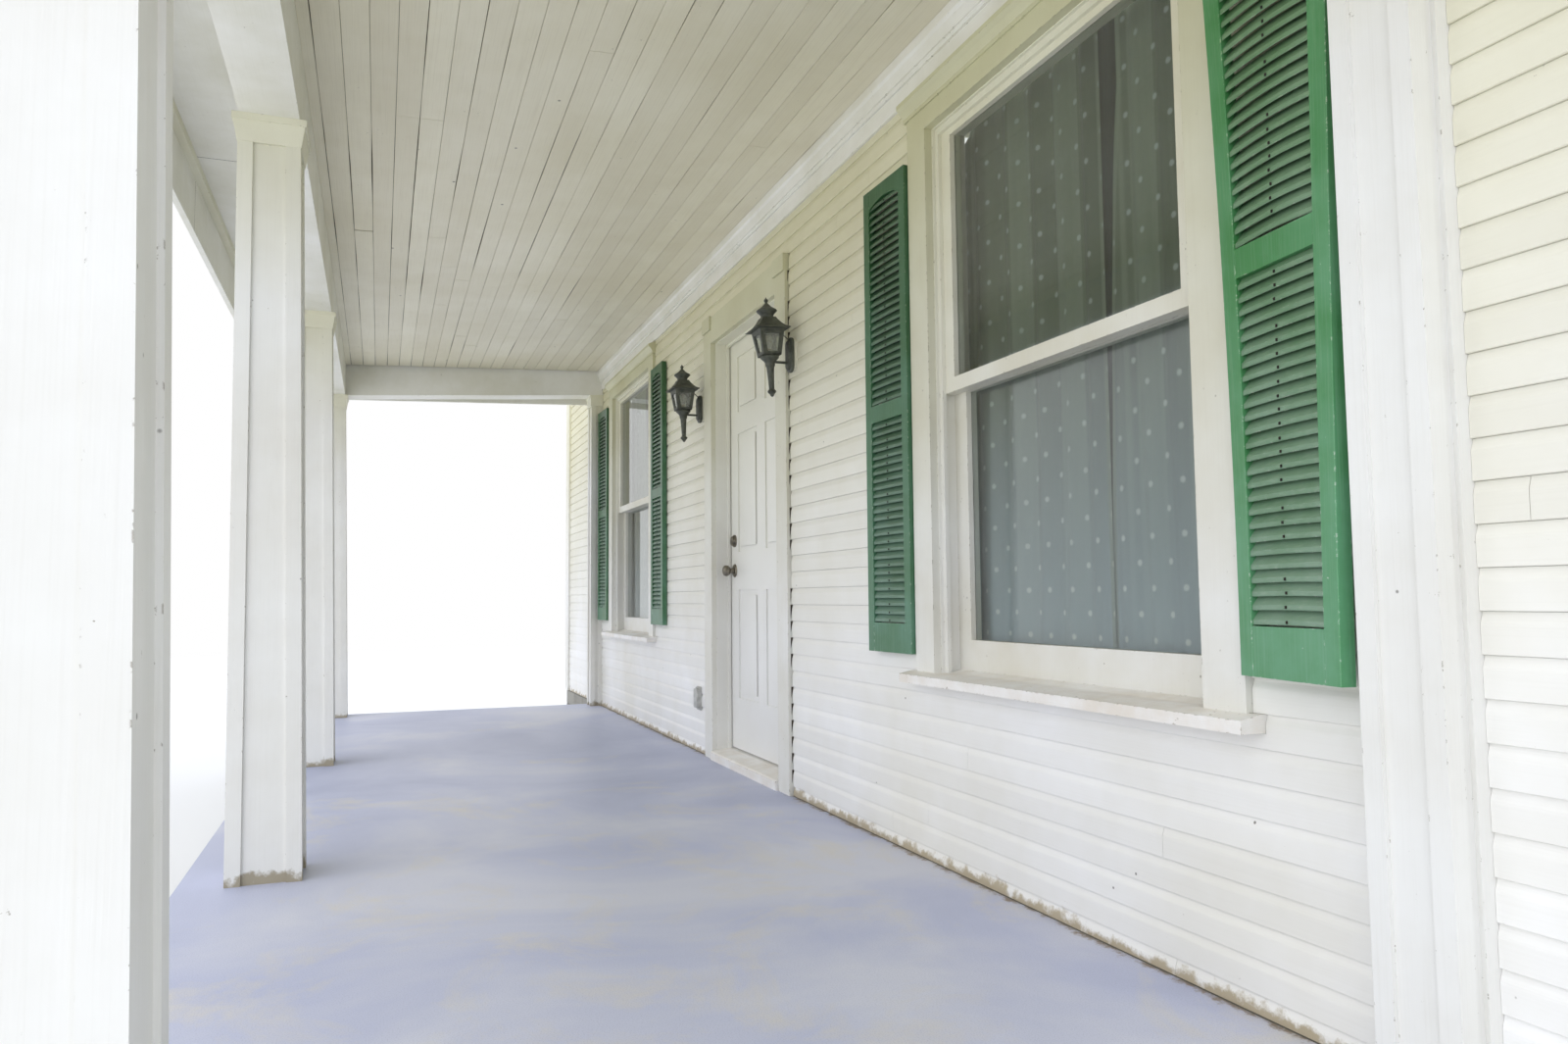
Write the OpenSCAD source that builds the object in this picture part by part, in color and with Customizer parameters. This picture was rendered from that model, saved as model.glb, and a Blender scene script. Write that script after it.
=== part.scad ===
/* [Porch] */
// Column spacing along the front, centre to centre
column_spacing = 2284; // [2200:2:2700]
// House wall to the column centres at the floor
porch_depth = 1888; // [1600:2:2400]
// Porch floor above the ground
floor_height = 350; // [250:10:600]
// Thickness of the concrete floor
slab_thick = 100; // [80:5:150]
// Floor beyond the column centres in front
floor_margin = 227; // [150:1:280]
// Floor beyond the end columns
end_margin = 130; // [115:5:280]
// Underside of the front beam above the head of the doorway
beam_over_door = 156; // [156:2:400]
// Height of the boxed beams
beam_height = 223; // [180:1:340]
// Width of the boxed beams
beam_width = 165; // [130:1:180]
// Rise of the ceiling from the front beam to the wall
ceiling_rise = 77; // [0:1:90]
// Rise of the underside of the end beams to the wall
end_beam_rise = 111; // [0:1:120]
// Soffit width outside the beams
eave = 285; // [200:5:450]
// Depth of the front fascia board
fascia_height = 272; // [200:2:320]
// Roof slope in degrees
roof_pitch = 18.5; // [12:0.5:26]

/* [House wall] */
// Wall beyond the end columns
wall_run = 1505; // [1200:5:1800]
// Wall thickness without the clapboards
wall_thick = 120; // [120:1:200]
// Width of the corner boards
corner_width = 120; // [90:5:180]
// Height of the frieze board under the ceiling
frieze_height = 152; // [120:1:160]
// Height of the crown moulding on the frieze board
crown_height = 91; // [60:1:100]
// Thickness of casings, frieze and corner boards
trim_thick = 25; // [20:1:35]

/* [Columns] */
// Column width at the floor
column_base = 202; // [190:1:230]
// Column width under the capital
column_top = 172; // [160:1:188]
// How far the column tops lean out to the street
column_lean = 35; // [0:1:40]
// Width of the raised corner strips
strip_width = 42; // [25:1:55]
// Depth of the flat panels behind the strips
panel_sink = 8; // [4:1:14]
// Height of the capitals
capital_height = 82; // [60:2:120]
// How far the capitals stand out from the columns
capital_out = 16; // [10:1:24]
// Width of the wall pilasters
pilaster_width = 148; // [110:1:180]
// How far the pilasters stand off the wall
pilaster_depth = 95; // [70:1:130]

/* [Door] */
// Width of the door leaf
door_width = 914; // [762:2:960]
// Height of the door leaf
door_height = 2032; // [1980:2:2100]
// Thickness of the door leaf
door_thick = 44; // [35:1:50]
// Height of the sill under the leaf
sill_height = 55; // [30:1:60]
// Width of the door casing boards
door_casing_width = 125; // [90:1:150]
// Knob above the bottom of the leaf
knob_height = 877; // [850:1:1000]
// Deadbolt above the knob
deadbolt_rise = 149; // [120:1:180]
// Leaf's edge to the middle of the lock
backset = 60; // [60:5:70]
// Hinge to the top and bottom of the leaf
hinge_end = 180; // [150:5:250]

/* [Windows] */
// End column to window centre
window_inset = 1050; // [1040:2:1250]
// Opening between the window jambs
window_width = 1108; // [900:2:1130]
// Height from the sill to the head jamb
window_height = 1685; // [1500:5:1750]
// Head casing and its cap, from the head jamb to the frieze board
window_head = 147; // [120:1:170]
// Width of the window casing boards
window_casing_width = 115; // [80:1:120]
// Thickness of the window sill
window_sill_thick = 35; // [30:1:50]
// Width of the sash stiles
sash_stile = 69; // [50:1:80]
// Height of the lowest sash rail
sash_bottom_rail = 91; // [60:1:110]
// Height of the meeting rails
meeting_rail = 43; // [30:1:55]

/* [Shutters] */
// Width of a shutter
shutter_width = 289; // [250:1:300]
// Height of a shutter
shutter_height = 1555; // [1400:5:1600]
// Thickness of a shutter
shutter_thick = 33; // [28:1:40]
// Spacing of the louvre slats
louvre_pitch = 25; // [22:1:35]
// Tilt of the louvre slats in degrees
louvre_tilt = 52; // [40:1:60]
// Angle at which the shutters stand off the wall, from left to right
shutter_angles = [2, 2, 4.5, 13];
// Window head to the top of the shutters, from left to right
shutter_drops = [62, 62, 84, 62];

/* [Lanterns] */
// Door casing to lantern centre
lantern_gap = 66; // [50:1:160]
// Head of the doorway to the middle of the lantern's wall plate
lantern_drop = 271; // [200:1:400]
// Width of the lantern roof
lantern_width = 135; // [110:1:180]
// How far the lantern's centre stands off the wall
lantern_reach = 118; // [105:1:150]

/* [Hidden] */
$fn = 48;
gap = 5;
fl = floor_height;
end_x = 1.5 * column_spacing;

door_gap = 7;
jamb = 25;
door_half = door_width / 2;
door_clear = door_half + door_gap;
door_rough = door_clear + jamb;
door_in = wall_thick - door_thick;
leaf_low = fl + sill_height + door_gap;
leaf_top = leaf_low + door_height;
door_head = leaf_top + door_gap;
reveal = 5;
casing_y = trim_thick;
door_casing_in = door_clear + reveal;
door_casing_out = door_casing_in + door_casing_width;
cap_block = 72;
door_casing_top = door_head + 146;

beam_low = door_head + beam_over_door;
beam_top = beam_low + beam_height;
beam_y = porch_depth + column_lean;
beam_in = beam_y - beam_width / 2;
beam_out = beam_y + beam_width / 2;
end_beam_shift = 21;
end_beam_in = end_x + end_beam_shift - beam_width / 2;
end_beam_out = end_beam_in + beam_width;
plate = 20;
ceiling_wall = beam_top + ceiling_rise;
frieze_low = ceiling_wall - frieze_height;
fascia_in = beam_out + eave;
fascia_thick = 22;
fascia_out = fascia_in + fascia_thick;
fascia_top = beam_top + 42;
fascia_low = fascia_top - fascia_height;
end_fascia_lift = 43;
side_in = end_beam_out + eave;
side_out = side_in + fascia_thick;
drip = 20;
roof_thick = 30;
roof_y = fascia_out + drip;
roof_x = side_out + drip;
roof_peak_x = roof_x - roof_y;
roof_peak = fascia_top + roof_y * tan(roof_pitch);
wall_x = end_x + wall_run;
wall_top = roof_peak + 160;
footing_set = -12;
porch_wall = 150;

window_x = end_x - window_inset;
window_half = window_width / 2;
window_jamb = 20;
blind_stop = 19;
window_top = frieze_low - window_head;
window_low = window_top - window_height;
window_rough = window_half + window_jamb;
window_casing_in = window_half + 4;
window_casing_out = window_casing_in + window_casing_width;
sash_thick = 38;
sash_y = 22;
lower_sash_y = sash_y + sash_thick + 2;
sill_step = 8;
sash_low = window_low + sill_step;
sash_top = window_top;
sash_top_rail = 40;
meet_low = round(sash_low + sash_bottom_rail + (sash_top - sash_low) * 0.447);
meet_top = meet_low + meeting_rail;
head_top = window_top + window_head * 0.48;
curtain_y = wall_thick + 30;

shutter_back = 20;
shutter_edge = window_casing_out + gap;

lantern_x = door_casing_out + lantern_gap;
lantern_z = door_head - lantern_drop;
lantern_unit = lantern_width / 135;

trim_paint = [0.93, 0.92, 0.89];

// A box from its low corner to its high corner.
module span(low, high) {
    translate(low) cube(high - low);
}

// What is drawn on the right is repeated on the left of the door's centre line.
module both_sides() {
    children();
    mirror([1, 0, 0]) children();
}

// A slab whose two faces across X lean together, from base_w at the floor to top_w at height h.
// It runs on past both ends by the overrun.
module leaning_slab(base_w, top_w, h, depth, overrun = 0) {
    lean = atan((base_w - top_w) / 2 / h);
    wide = base_w + 2 * overrun;
    difference() {
        translate([-wide / 2, -depth / 2, -overrun]) cube([wide, depth, h + 2 * overrun]);
        for (s = [-1, 1])
            translate([s * base_w / 2, 0, 0]) rotate([0, -s * lean, 0])
                translate([s > 0 ? 0 : -base_w, -depth, -h]) cube([base_w, 2 * depth, 3 * h]);
    }
}

// A square post that narrows upwards.
module post(base_w, top_w, h, overrun = 0) {
    depth = base_w + 2 * overrun + 2;
    intersection() {
        leaning_slab(base_w, top_w, h, depth, overrun);
        rotate([0, 0, 90]) leaning_slab(base_w, top_w, h, depth, overrun);
    }
}

// A profile in the Y-Z plane, drawn along X from low to high.
module along_x(low, high, profile) {
    translate([low, 0, 0]) rotate([90, 0, 90]) linear_extrude(high - low) polygon(profile);
}

// Foundation and floor

module footing(low, high) {
    span([low[0], low[1], 0], [high[0], high[1], fl - slab_thick]);
}

foot_x = end_x + end_margin - 60;
foot_y = porch_depth + floor_margin - 60;

module porch_footing_front() {
    color("gray") footing([-foot_x, -foot_y], [foot_x, -foot_y + porch_wall]);
}

module porch_footing_right() {
    color("gray") footing([foot_x - porch_wall, -foot_y + porch_wall], [foot_x, footing_set]);
}

module porch_footing_left() {
    mirror([1, 0, 0]) porch_footing_right();
}

module house_footing() {
    color("gray") span([-wall_x + 10, footing_set, 0], [wall_x - 10, wall_thick, fl]);
}

module porch_floor() {
    floor_x = end_x + end_margin;
    floor_y = porch_depth + floor_margin;
    color([0.55, 0.58, 0.64]) span([-floor_x, -floor_y, fl - slab_thick], [floor_x, footing_set, fl]);
}

// House wall

module wall_right() {
    color(trim_paint) difference() {
        span([door_rough, 0, fl], [wall_x, wall_thick, wall_top]);
        span([window_x - window_rough, -1, window_low - window_sill_thick],
            [window_x + window_rough, wall_thick + 1, window_top + window_jamb]);
    }
}

module wall_left() {
    mirror([1, 0, 0]) wall_right();
}

module wall_over_door() {
    color(trim_paint) span([-door_rough, 0, door_head + jamb], [door_rough, wall_thick, wall_top]);
}

// The board under the ceiling with its stepped crown moulding, as one profile along the wall.
module frieze_board() {
    slope = ceiling_rise / beam_in;
    crown = [-52, -0.85 * crown_height];
    color(trim_paint) translate([0, 0, ceiling_wall])
        along_x(-end_beam_in, end_beam_in, [[0, -frieze_height], [-20, -frieze_height],
            [-20, -crown_height], [-28, -crown_height], [-30, crown[1]], [-36, crown[1]],
            [-44, -0.5 * crown_height], [crown[0], -0.4 * crown_height], [crown[0], crown[0] * slope],
            [0, 0]]);
}

module corner_boards() {
    color(trim_paint) both_sides() {
        span([wall_x - corner_width, -casing_y, fl], [wall_x + casing_y, 0, wall_top]);
        span([wall_x, 0, fl], [wall_x + casing_y, min(corner_width, wall_thick), wall_top]);
    }
}

// Columns

shaft_height = beam_low - fl - capital_height;
fillet = 20;

// The strips stand on the corners of a slightly smaller post.
module column_shaft() {
    overrun = 10;
    panel_base = column_base - 2 * strip_width;
    panel_top = column_top - 2 * strip_width;
    post(column_base - 2 * panel_sink, column_top - 2 * panel_sink, shaft_height, overrun);
    difference() {
        post(column_base, column_top, shaft_height, overrun);
        leaning_slab(panel_base, panel_top, shaft_height, 2 * column_base, 2 * overrun);
        rotate([0, 0, 90])
            leaning_slab(panel_base, panel_top, shaft_height, 2 * column_base, 2 * overrun);
    }
}

// The shaft leans to the street and is cut level at the floor and under its capital.
module column() {
    intersection() {
        rotate([atan(column_lean / shaft_height), 0, 0]) column_shaft();
        span([-column_base, -2 * column_base, 0], [column_base, 2 * column_base, shaft_height]);
    }
}

module capital() {
    crown = capital_height - fillet;
    wide = column_top + 2 * capital_out;
    translate([-wide / 2, -wide / 2, crown]) cube([wide, wide, fillet]);
    translate([0, 0, crown]) mirror([0, 0, 1]) post(wide - 8, column_top + 4, crown);
}

module at_columns() {
    for (i = [-1.5:1:1.5]) translate([i * column_spacing, -porch_depth, fl]) children();
}

module columns() {
    color(trim_paint) at_columns() column();
}

module capitals() {
    color(trim_paint) at_columns() translate([0, -column_lean, shaft_height]) capital();
}

// Height of the underside of the end beams at a distance from the wall.
function end_beam_low(y) = beam_low + end_beam_rise * (1 - y / beam_in);

// A half column against the wall, with the same strips and capital, up to the sloping beam.
module pilasters() {
    strip = 36;
    face = pilaster_depth;
    out = capital_out - 4;
    block_top = end_beam_low(face + out) - fillet;
    block_low = block_top - capital_height + fillet;
    low = end_beam_in;
    high = end_beam_in + pilaster_width;
    seat = 0.02;
    color(trim_paint) both_sides() {
        span([low + panel_sink, -face + panel_sink, fl], [high - panel_sink, 0, block_low]);
        for (x = [low, high - strip], y = [-face, -strip])
            span([x, y, fl], [x + strip, y + strip, block_low]);
        span([low - out / 2, -face - out / 2, block_low], [high + out / 2, 0, block_top]);
        along_x(low - out, high + out, [[0, block_top], [-face - out, block_top],
            [-face - out, end_beam_low(face + out) - seat], [0, end_beam_low(0) - seat]]);
    }
}

// Beams, ceiling and eaves

module front_beam() {
    color(trim_paint) span([-end_beam_out, -beam_out, beam_low], [end_beam_out, -beam_in, beam_top]);
}

// The end beams follow the ceiling above and rise to the wall below.
module end_beams() {
    color(trim_paint) both_sides() along_x(end_beam_in, end_beam_out, [[-beam_in, beam_low],
        [0, end_beam_low(0)], [0, ceiling_wall], [-beam_in, beam_top]]);
}

module ceiling() {
    color([0.9, 0.88, 0.86]) along_x(-end_beam_out, end_beam_out, [[-beam_out, beam_top],
        [-beam_in, beam_top], [0, ceiling_wall], [0, ceiling_wall + plate], [-beam_in, beam_top + plate],
        [-beam_out, beam_top + plate]]);
}

module soffit() {
    color(trim_paint) difference() {
        span([-side_in, -fascia_in, beam_top], [side_in, 0, beam_top + plate]);
        span([-end_beam_out, -beam_out, beam_top - 1], [end_beam_out, 1, beam_top + plate + 1]);
    }
}

// One deep board in front, and two at the ends whose lower edges rise to the wall.
module fascia() {
    low = fascia_low + end_fascia_lift;
    color(trim_paint) {
        span([-side_out, -fascia_out, fascia_low], [side_out, -fascia_in, fascia_top]);
        both_sides() along_x(side_in, side_out, [[-fascia_in, low], [0, low + ceiling_rise],
            [0, fascia_top], [-fascia_in, fascia_top]]);
    }
}

// Strips in the corner of soffit and fascia, and of soffit and beam.
module eave_trim() {
    strip = 30;
    batten = 18;
    color(trim_paint) {
        difference() {
            span([-side_in, -fascia_in, beam_top - strip], [side_in, 0, beam_top]);
            span([-side_in + strip, -fascia_in + strip, beam_top - strip - 1],
                [side_in - strip, 1, beam_top + 1]);
        }
        difference() {
            span([-end_beam_out - batten, -beam_out - batten, beam_top - 24],
                [end_beam_out + batten, 0, beam_top]);
            span([-end_beam_out, -beam_out, beam_top - 25], [end_beam_out, 1, beam_top + 1]);
        }
    }
}

// Roof: three slopes that meet on the hips

module roof_front() {
    color("dimgray") intersection() {
        translate([-roof_x, -fascia_out, fascia_top]) rotate([roof_pitch, 0, 0])
            translate([0, -2 * drip, 0]) cube([2 * roof_x, 1.3 * roof_y, roof_thick]);
        linear_extrude(wall_top) polygon([[-roof_x, -roof_y], [roof_x, -roof_y],
            [roof_peak_x, 0], [-roof_peak_x, 0]]);
    }
}

module roof_right() {
    color("dimgray") intersection() {
        translate([side_out, 0, fascia_top]) rotate([0, roof_pitch, 0])
            translate([-1.3 * roof_y, -roof_y, 0]) cube([1.3 * roof_y + 2 * drip, roof_y, roof_thick]);
        linear_extrude(wall_top) polygon([[roof_x, -roof_y], [roof_x, 0], [roof_peak_x, 0]]);
    }
}

module roof_left() {
    mirror([1, 0, 0]) roof_right();
}

// Door

module door_casing() {
    top = door_casing_top;
    color(trim_paint) {
        both_sides() {
            span([door_casing_in, -casing_y, fl], [door_casing_out, 0, top - cap_block]);
            span([door_casing_in - 4, -casing_y - 10, top - cap_block], [door_casing_out + 4, 0, top]);
        }
        span([-door_casing_in, -casing_y, door_head + reveal], [door_casing_in, 0, top - 4]);
    }
}

// Jambs and head with the stop that the leaf closes against.
module door_frame() {
    stop = 14;
    stop_out = door_in - gap - stop;
    color(trim_paint) {
        both_sides() {
            span([door_clear, 0, fl], [door_rough, wall_thick, door_head]);
            span([door_clear - stop, stop_out, fl + sill_height], [door_clear, stop_out + stop, door_head]);
        }
        span([-door_rough, 0, door_head], [door_rough, wall_thick, door_head + jamb]);
        span([-door_clear, stop_out, door_head - stop], [door_clear, stop_out + stop, door_head]);
    }
}

// Sloped sill between the jambs, with its nose on the porch floor.
module door_sill() {
    front = -casing_y - 12;
    profile = [[front, 0], [wall_thick, 0], [wall_thick, sill_height], [door_in - 20, sill_height],
        [front + 8, sill_height - 12], [front, sill_height - 18]];
    color([0.86, 0.84, 0.8]) translate([-door_clear, 0, fl]) rotate([90, 0, 90])
        linear_extrude(2 * door_clear) polygon(profile);
}

stile = door_width * 0.126;
panel_width = (door_width - 3 * stile) / 2;
panel_rows = [[0.123, 0.384], [0.477, 0.768], [0.822, 0.960]];

// One raised panel: a groove round a field that stands level with the stiles.
module panel_groove(w, h) {
    groove = 26;
    difference() {
        cube([w, 7, h]);
        translate([groove, -1, groove]) cube([w - 2 * groove, 6, h - 2 * groove]);
        translate([groove + 14, -2, groove + 14]) cube([w - 2 * groove - 28, 10, h - 2 * groove - 28]);
    }
}

module door_leaf() {
    color([0.95, 0.95, 0.94]) difference() {
        span([-door_half, door_in, leaf_low], [door_half, door_in + door_thick, leaf_top]);
        for (row = panel_rows, column = [-1, 0]) {
            x = column < 0 ? -stile / 2 - panel_width : stile / 2;
            z = leaf_low + row[0] * door_height;
            h = (row[1] - row[0]) * door_height;
            translate([x, door_in - 0.01, z]) panel_groove(panel_width, h);
            translate([x, door_in + door_thick + 0.01, z]) mirror([0, 1, 0]) panel_groove(panel_width, h);
        }
    }
}

lock_x = -door_half + backset;
knob_z = leaf_low + knob_height;

// Knob profile: radius against distance from the door's face.
module knob() {
    rotate([90, 0, 0]) rotate_extrude($fn = 64)
        polygon([[0, 0], [33, 0], [33, 3], [27, 8], [14, 10], [12, 26], [19, 30], [26, 38],
            [27.5, 48], [24, 58], [15, 63], [0, 64]]);
}

module door_lockset() {
    rose = 31;
    color([0.45, 0.42, 0.38]) {
        translate([lock_x, 0, knob_z]) {
            translate([0, door_in, 0]) knob();
            translate([0, wall_thick, 0]) mirror([0, 1, 0]) knob();
        }
        translate([lock_x, 0, knob_z + deadbolt_rise]) {
            translate([0, door_in, 0]) rotate([90, 0, 0]) cylinder(r = rose, h = 7);
            translate([0, door_in - 7, 0]) rotate([90, 0, 0]) cylinder(r1 = rose - 5, r2 = rose - 9, h = 11);
            translate([0, wall_thick, 0]) rotate([-90, 0, 0]) cylinder(r = rose, h = 8);
            span([-5, wall_thick + 8, -18], [5, wall_thick + 24, 18]);
        }
    }
}

hinge_r = 6;
hinge_length = 90;
hinge_x = door_half + door_gap / 2;
hinge_y = wall_thick + gap + hinge_r;

// Barrel, and the leaf that wraps from it onto the door's inner face.
module door_hinges() {
    leaf_y = wall_thick - hinge_y;
    color("gray")
        for (z = [hinge_end, (door_height - hinge_length) / 2, door_height - hinge_end - hinge_length])
            translate([hinge_x, hinge_y, leaf_low + z]) {
                cylinder(r = hinge_r, h = hinge_length);
                translate([-34, leaf_y, 0]) cube([31, 3, hinge_length]);
                translate([-hinge_r - 0.5, leaf_y, 0]) cube([4, -leaf_y, hinge_length]);
            }
}

// Windows

module at_windows() {
    both_sides() translate([window_x, 0, 0]) children();
}

// A rectangular frame in the X-Z plane: a width of side, and heights of bottom and top rail.
module frame_ring(low, high, y, depth, side, bottom, top) {
    difference() {
        span([low[0], y, low[1]], [high[0], y + depth, high[1]]);
        span([low[0] + side, y - 1, low[1] + bottom], [high[0] - side, y + depth + 1, high[1] - top]);
    }
}

// Jambs and head through the wall, with the blind stop in front of the upper sash.
module window_frames() {
    stop = 12;
    color(trim_paint) at_windows() {
        for (s = [-1, 1]) mirror([s > 0 ? 1 : 0, 0, 0]) {
            span([-window_rough, 0, window_low], [-window_half, wall_thick, window_top]);
            span([-window_half, sash_y - stop, window_low], [-window_half + blind_stop, sash_y, window_top]);
        }
        span([-window_rough, 0, window_top], [window_rough, wall_thick, window_top + window_jamb]);
        span([-window_half + blind_stop, sash_y - stop, window_top - blind_stop],
            [window_half - blind_stop, sash_y, window_top]);
    }
}

// Flat casings, a head board, and the moulded drip cap with its returns.
module window_casings() {
    side = window_casing_out;
    cap_top = frieze_low;
    drip_y = casing_y + 30;
    cap = [[0, head_top], [-casing_y - 6, head_top], [-casing_y - 6, head_top + 12],
        [-casing_y - 18, head_top + 30], [-drip_y, head_top + 42], [-drip_y, head_top + 56], [0, cap_top]];
    color(trim_paint) at_windows() {
        for (s = [-1, 1]) mirror([s > 0 ? 1 : 0, 0, 0])
            span([-side, -casing_y, window_low], [-window_casing_in, 0, window_top + 4]);
        span([-side, -casing_y, window_top + 4], [side, 0, head_top]);
        along_x(-side - 14, side + 14, cap);
    }
}

// The nose carries the casings; the step between the jambs carries the lower sash.
module window_sills() {
    nose = casing_y + 45;
    horn = window_casing_out + 30;
    bottom = -window_sill_thick;
    color(trim_paint) at_windows() translate([0, 0, window_low]) {
        along_x(-horn, horn, [[-nose, bottom], [-nose, -9], [-casing_y, 0], [0, 0], [0, bottom]]);
        span([-window_rough, 0, bottom], [window_rough, wall_thick, 0]);
        along_x(-window_half, window_half, [[sash_y, 0], [lower_sash_y, sill_step],
            [wall_thick, sill_step], [wall_thick, 0]]);
    }
}

module upper_sashes() {
    color(trim_paint) at_windows()
        frame_ring([-window_half, meet_low], [window_half, sash_top], sash_y, sash_thick,
            sash_stile, meeting_rail, sash_top_rail);
}

module lower_sashes() {
    color(trim_paint) at_windows()
        frame_ring([-window_half, sash_low], [window_half, meet_top], lower_sash_y, sash_thick,
            sash_stile, sash_bottom_rail, meeting_rail);
}

// One sheet in each sash.
module window_glass() {
    sheet = 4;
    middle = (sash_thick - sheet) / 2;
    pane = window_half - sash_stile;
    color([0.6, 0.7, 0.7, 0.4]) at_windows() {
        span([-pane, sash_y + middle, meet_top], [pane, sash_y + middle + sheet, sash_top - sash_top_rail]);
        span([-pane, lower_sash_y + middle, sash_low + sash_bottom_rail],
            [pane, lower_sash_y + middle + sheet, meet_low]);
    }
}

rod_z = window_top + window_jamb / 2;
rod_r = 6;

// A rod over the window inside, on two brackets on the ends of the window frame.
module curtain_rods() {
    reach = window_rough;
    bracket = 8;
    color("white") at_windows() {
        translate([-reach, curtain_y, rod_z]) rotate([0, 90, 0]) cylinder(r = rod_r, h = 2 * reach);
        for (x = [-reach + 4, reach - 4 - bracket])
            span([x, wall_thick, rod_z - 8], [x + bracket, curtain_y + rod_r + 3, rod_z + 8]);
    }
}

// Two plain panels a window, hung from the rod with a slit between them.
module curtains() {
    slit = 18;
    fold = 9;
    color([0.85, 0.87, 0.88]) at_windows() for (s = [0, 1]) mirror([s, 0, 0]) difference() {
        span([slit / 2, curtain_y - fold, window_low - 40],
            [window_half + 5, curtain_y + fold, rod_z + fold]);
        translate([0, curtain_y, rod_z]) rotate([0, 90, 0])
            cylinder(r = rod_r + 0.3, h = window_width);
    }
}

// Shutters with true louvres

shutter_stile = 40;
bottom_rail = 98;
low_panel_top = 0.526 * shutter_height;
mid_rail = 49;
arch_spring = shutter_height - 128;
arch_rise = 50;
slat_thick = 8;

// The two openings in a shutter, the upper one arched.
module shutter_openings(grow) {
    w = shutter_width - 2 * shutter_stile + 2 * grow;
    arch_r = (w * w / 4 + arch_rise * arch_rise) / (2 * arch_rise);
    translate([-w / 2, bottom_rail - grow]) square([w, low_panel_top - bottom_rail + 2 * grow]);
    translate([-w / 2, low_panel_top + mid_rail - grow])
        square([w, arch_spring - low_panel_top - mid_rail + grow]);
    intersection() {
        translate([0, arch_spring + arch_rise - arch_r]) circle(r = arch_r, $fn = 96);
        translate([-w / 2, arch_spring - 1]) square([w, arch_rise + 2]);
    }
}

// Slats side by side up one panel, cut to the thickness of the frame.
module slats(low, high) {
    count = floor((high - low) / louvre_pitch);
    lap = shutter_thick / sin(louvre_tilt) + slat_thick;
    intersection() {
        for (i = [0:count - 1])
            translate([0, shutter_thick / 2, low + (i + 0.5) * (high - low) / count])
                rotate([louvre_tilt - 90, 0, 0])
                    cube([shutter_width - 2 * shutter_stile + 4, slat_thick, lap], center = true);
        span([-shutter_width, 3, low - 4], [shutter_width, shutter_thick - 3, high + 4]);
    }
}

module shutter() {
    difference() {
        translate([-shutter_width / 2, 0, 0]) cube([shutter_width, shutter_thick, shutter_height]);
        translate([0, shutter_thick + 1, 0]) rotate([90, 0, 0])
            linear_extrude(shutter_thick + 2) shutter_openings(0);
    }
    intersection() {
        union() {
            slats(bottom_rail, low_panel_top);
            slats(low_panel_top + mid_rail, arch_spring + arch_rise);
        }
        translate([0, shutter_thick + 1, 0]) rotate([90, 0, 0])
            linear_extrude(shutter_thick + 2) shutter_openings(2);
    }
}

// Each shutter hangs on its edge beside the casing and stands off the wall on two spacers.
module shutters() {
    places = [[-window_x, -1], [-window_x, 1], [window_x, -1], [window_x, 1]];
    color([0.12, 0.4, 0.22]) for (i = [0:3]) {
        side = places[i][1];
        low = window_top - shutter_drops[i] - shutter_height;
        translate([places[i][0] + side * shutter_edge, -shutter_back, low]) {
            rotate([0, 0, -side * shutter_angles[i]])
                translate([side * shutter_width / 2, -shutter_thick, 0]) shutter();
            for (z = [60, shutter_height - 90]) translate([side * 20, 0, z])
                span([-14, -6, 0], [14, shutter_back, 40]);
        }
    }
}

// Lanterns: square, with a flared roof. Heights are from the middle of the wall plate.

cage_low = -42;
cage_top = 60;
cage_base = 66;
cage_wide = 104;
tail = 210;

// Frames at the bottom and top of the panes, and a leaning bar at each corner.
module lantern_cage() {
    low_r = cage_base * sqrt(2) / 2;
    high_r = cage_wide * sqrt(2) / 2;
    cage_h = cage_top - cage_low;
    lean = atan((high_r - low_r) / cage_h);
    bar = 7;
    for (ring = [[cage_low - 5, cage_base + 6], [cage_top - 2, cage_wide]])
        translate([-ring[1] / 2, -ring[1] / 2, ring[0]]) cube([ring[1], ring[1], 6]);
    for (i = [0:3]) rotate([0, 0, 45 + i * 90])
        translate([low_r - bar, -bar / 2, cage_low - 2]) rotate([0, lean, 0])
            cube([bar, bar, cage_h / cos(lean) + 1]);
}

// A form that is square at every height, from half widths and heights.
module square_turned(profile) {
    wide = 2 * max([for (p = profile) p[0]]);
    outline = concat(profile, [for (i = [len(profile) - 1:-1:0]) [-profile[i][0], profile[i][1]]]);
    intersection() {
        rotate([90, 0, 0]) linear_extrude(wide, center = true) polygon(outline);
        rotate([90, 0, 90]) linear_extrude(wide, center = true) polygon(outline);
    }
}

// Flared roof, neck and crown, with a turned finial.
module lantern_roof() {
    translate([0, 0, cage_top + 4]) {
        square_turned([[67.5, 0], [67, 3], [44, 19], [23, 49], [21, 49], [21, 57], [33, 57], [32, 61],
            [19, 72], [8, 87]]);
        translate([0, 0, 87]) rotate_extrude()
            polygon([[0, 0], [6, 0], [3.5, 6], [8, 13], [8, 17], [3, 25], [2.2, 42], [0, 52]]);
    }
}

module lantern_body() {
    lantern_roof();
    lantern_cage();
    rotate_extrude() polygon([[0, cage_low], [34, cage_low], [40, -50], [40, -54], [30, -62], [24, -74],
        [20, -90], [18, -96], [20, -101], [17, -107], [12, -150], [9, -176], [13, -182], [13, -188],
        [8, -196], [5, -204], [0, -tail]]);
}

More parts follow.
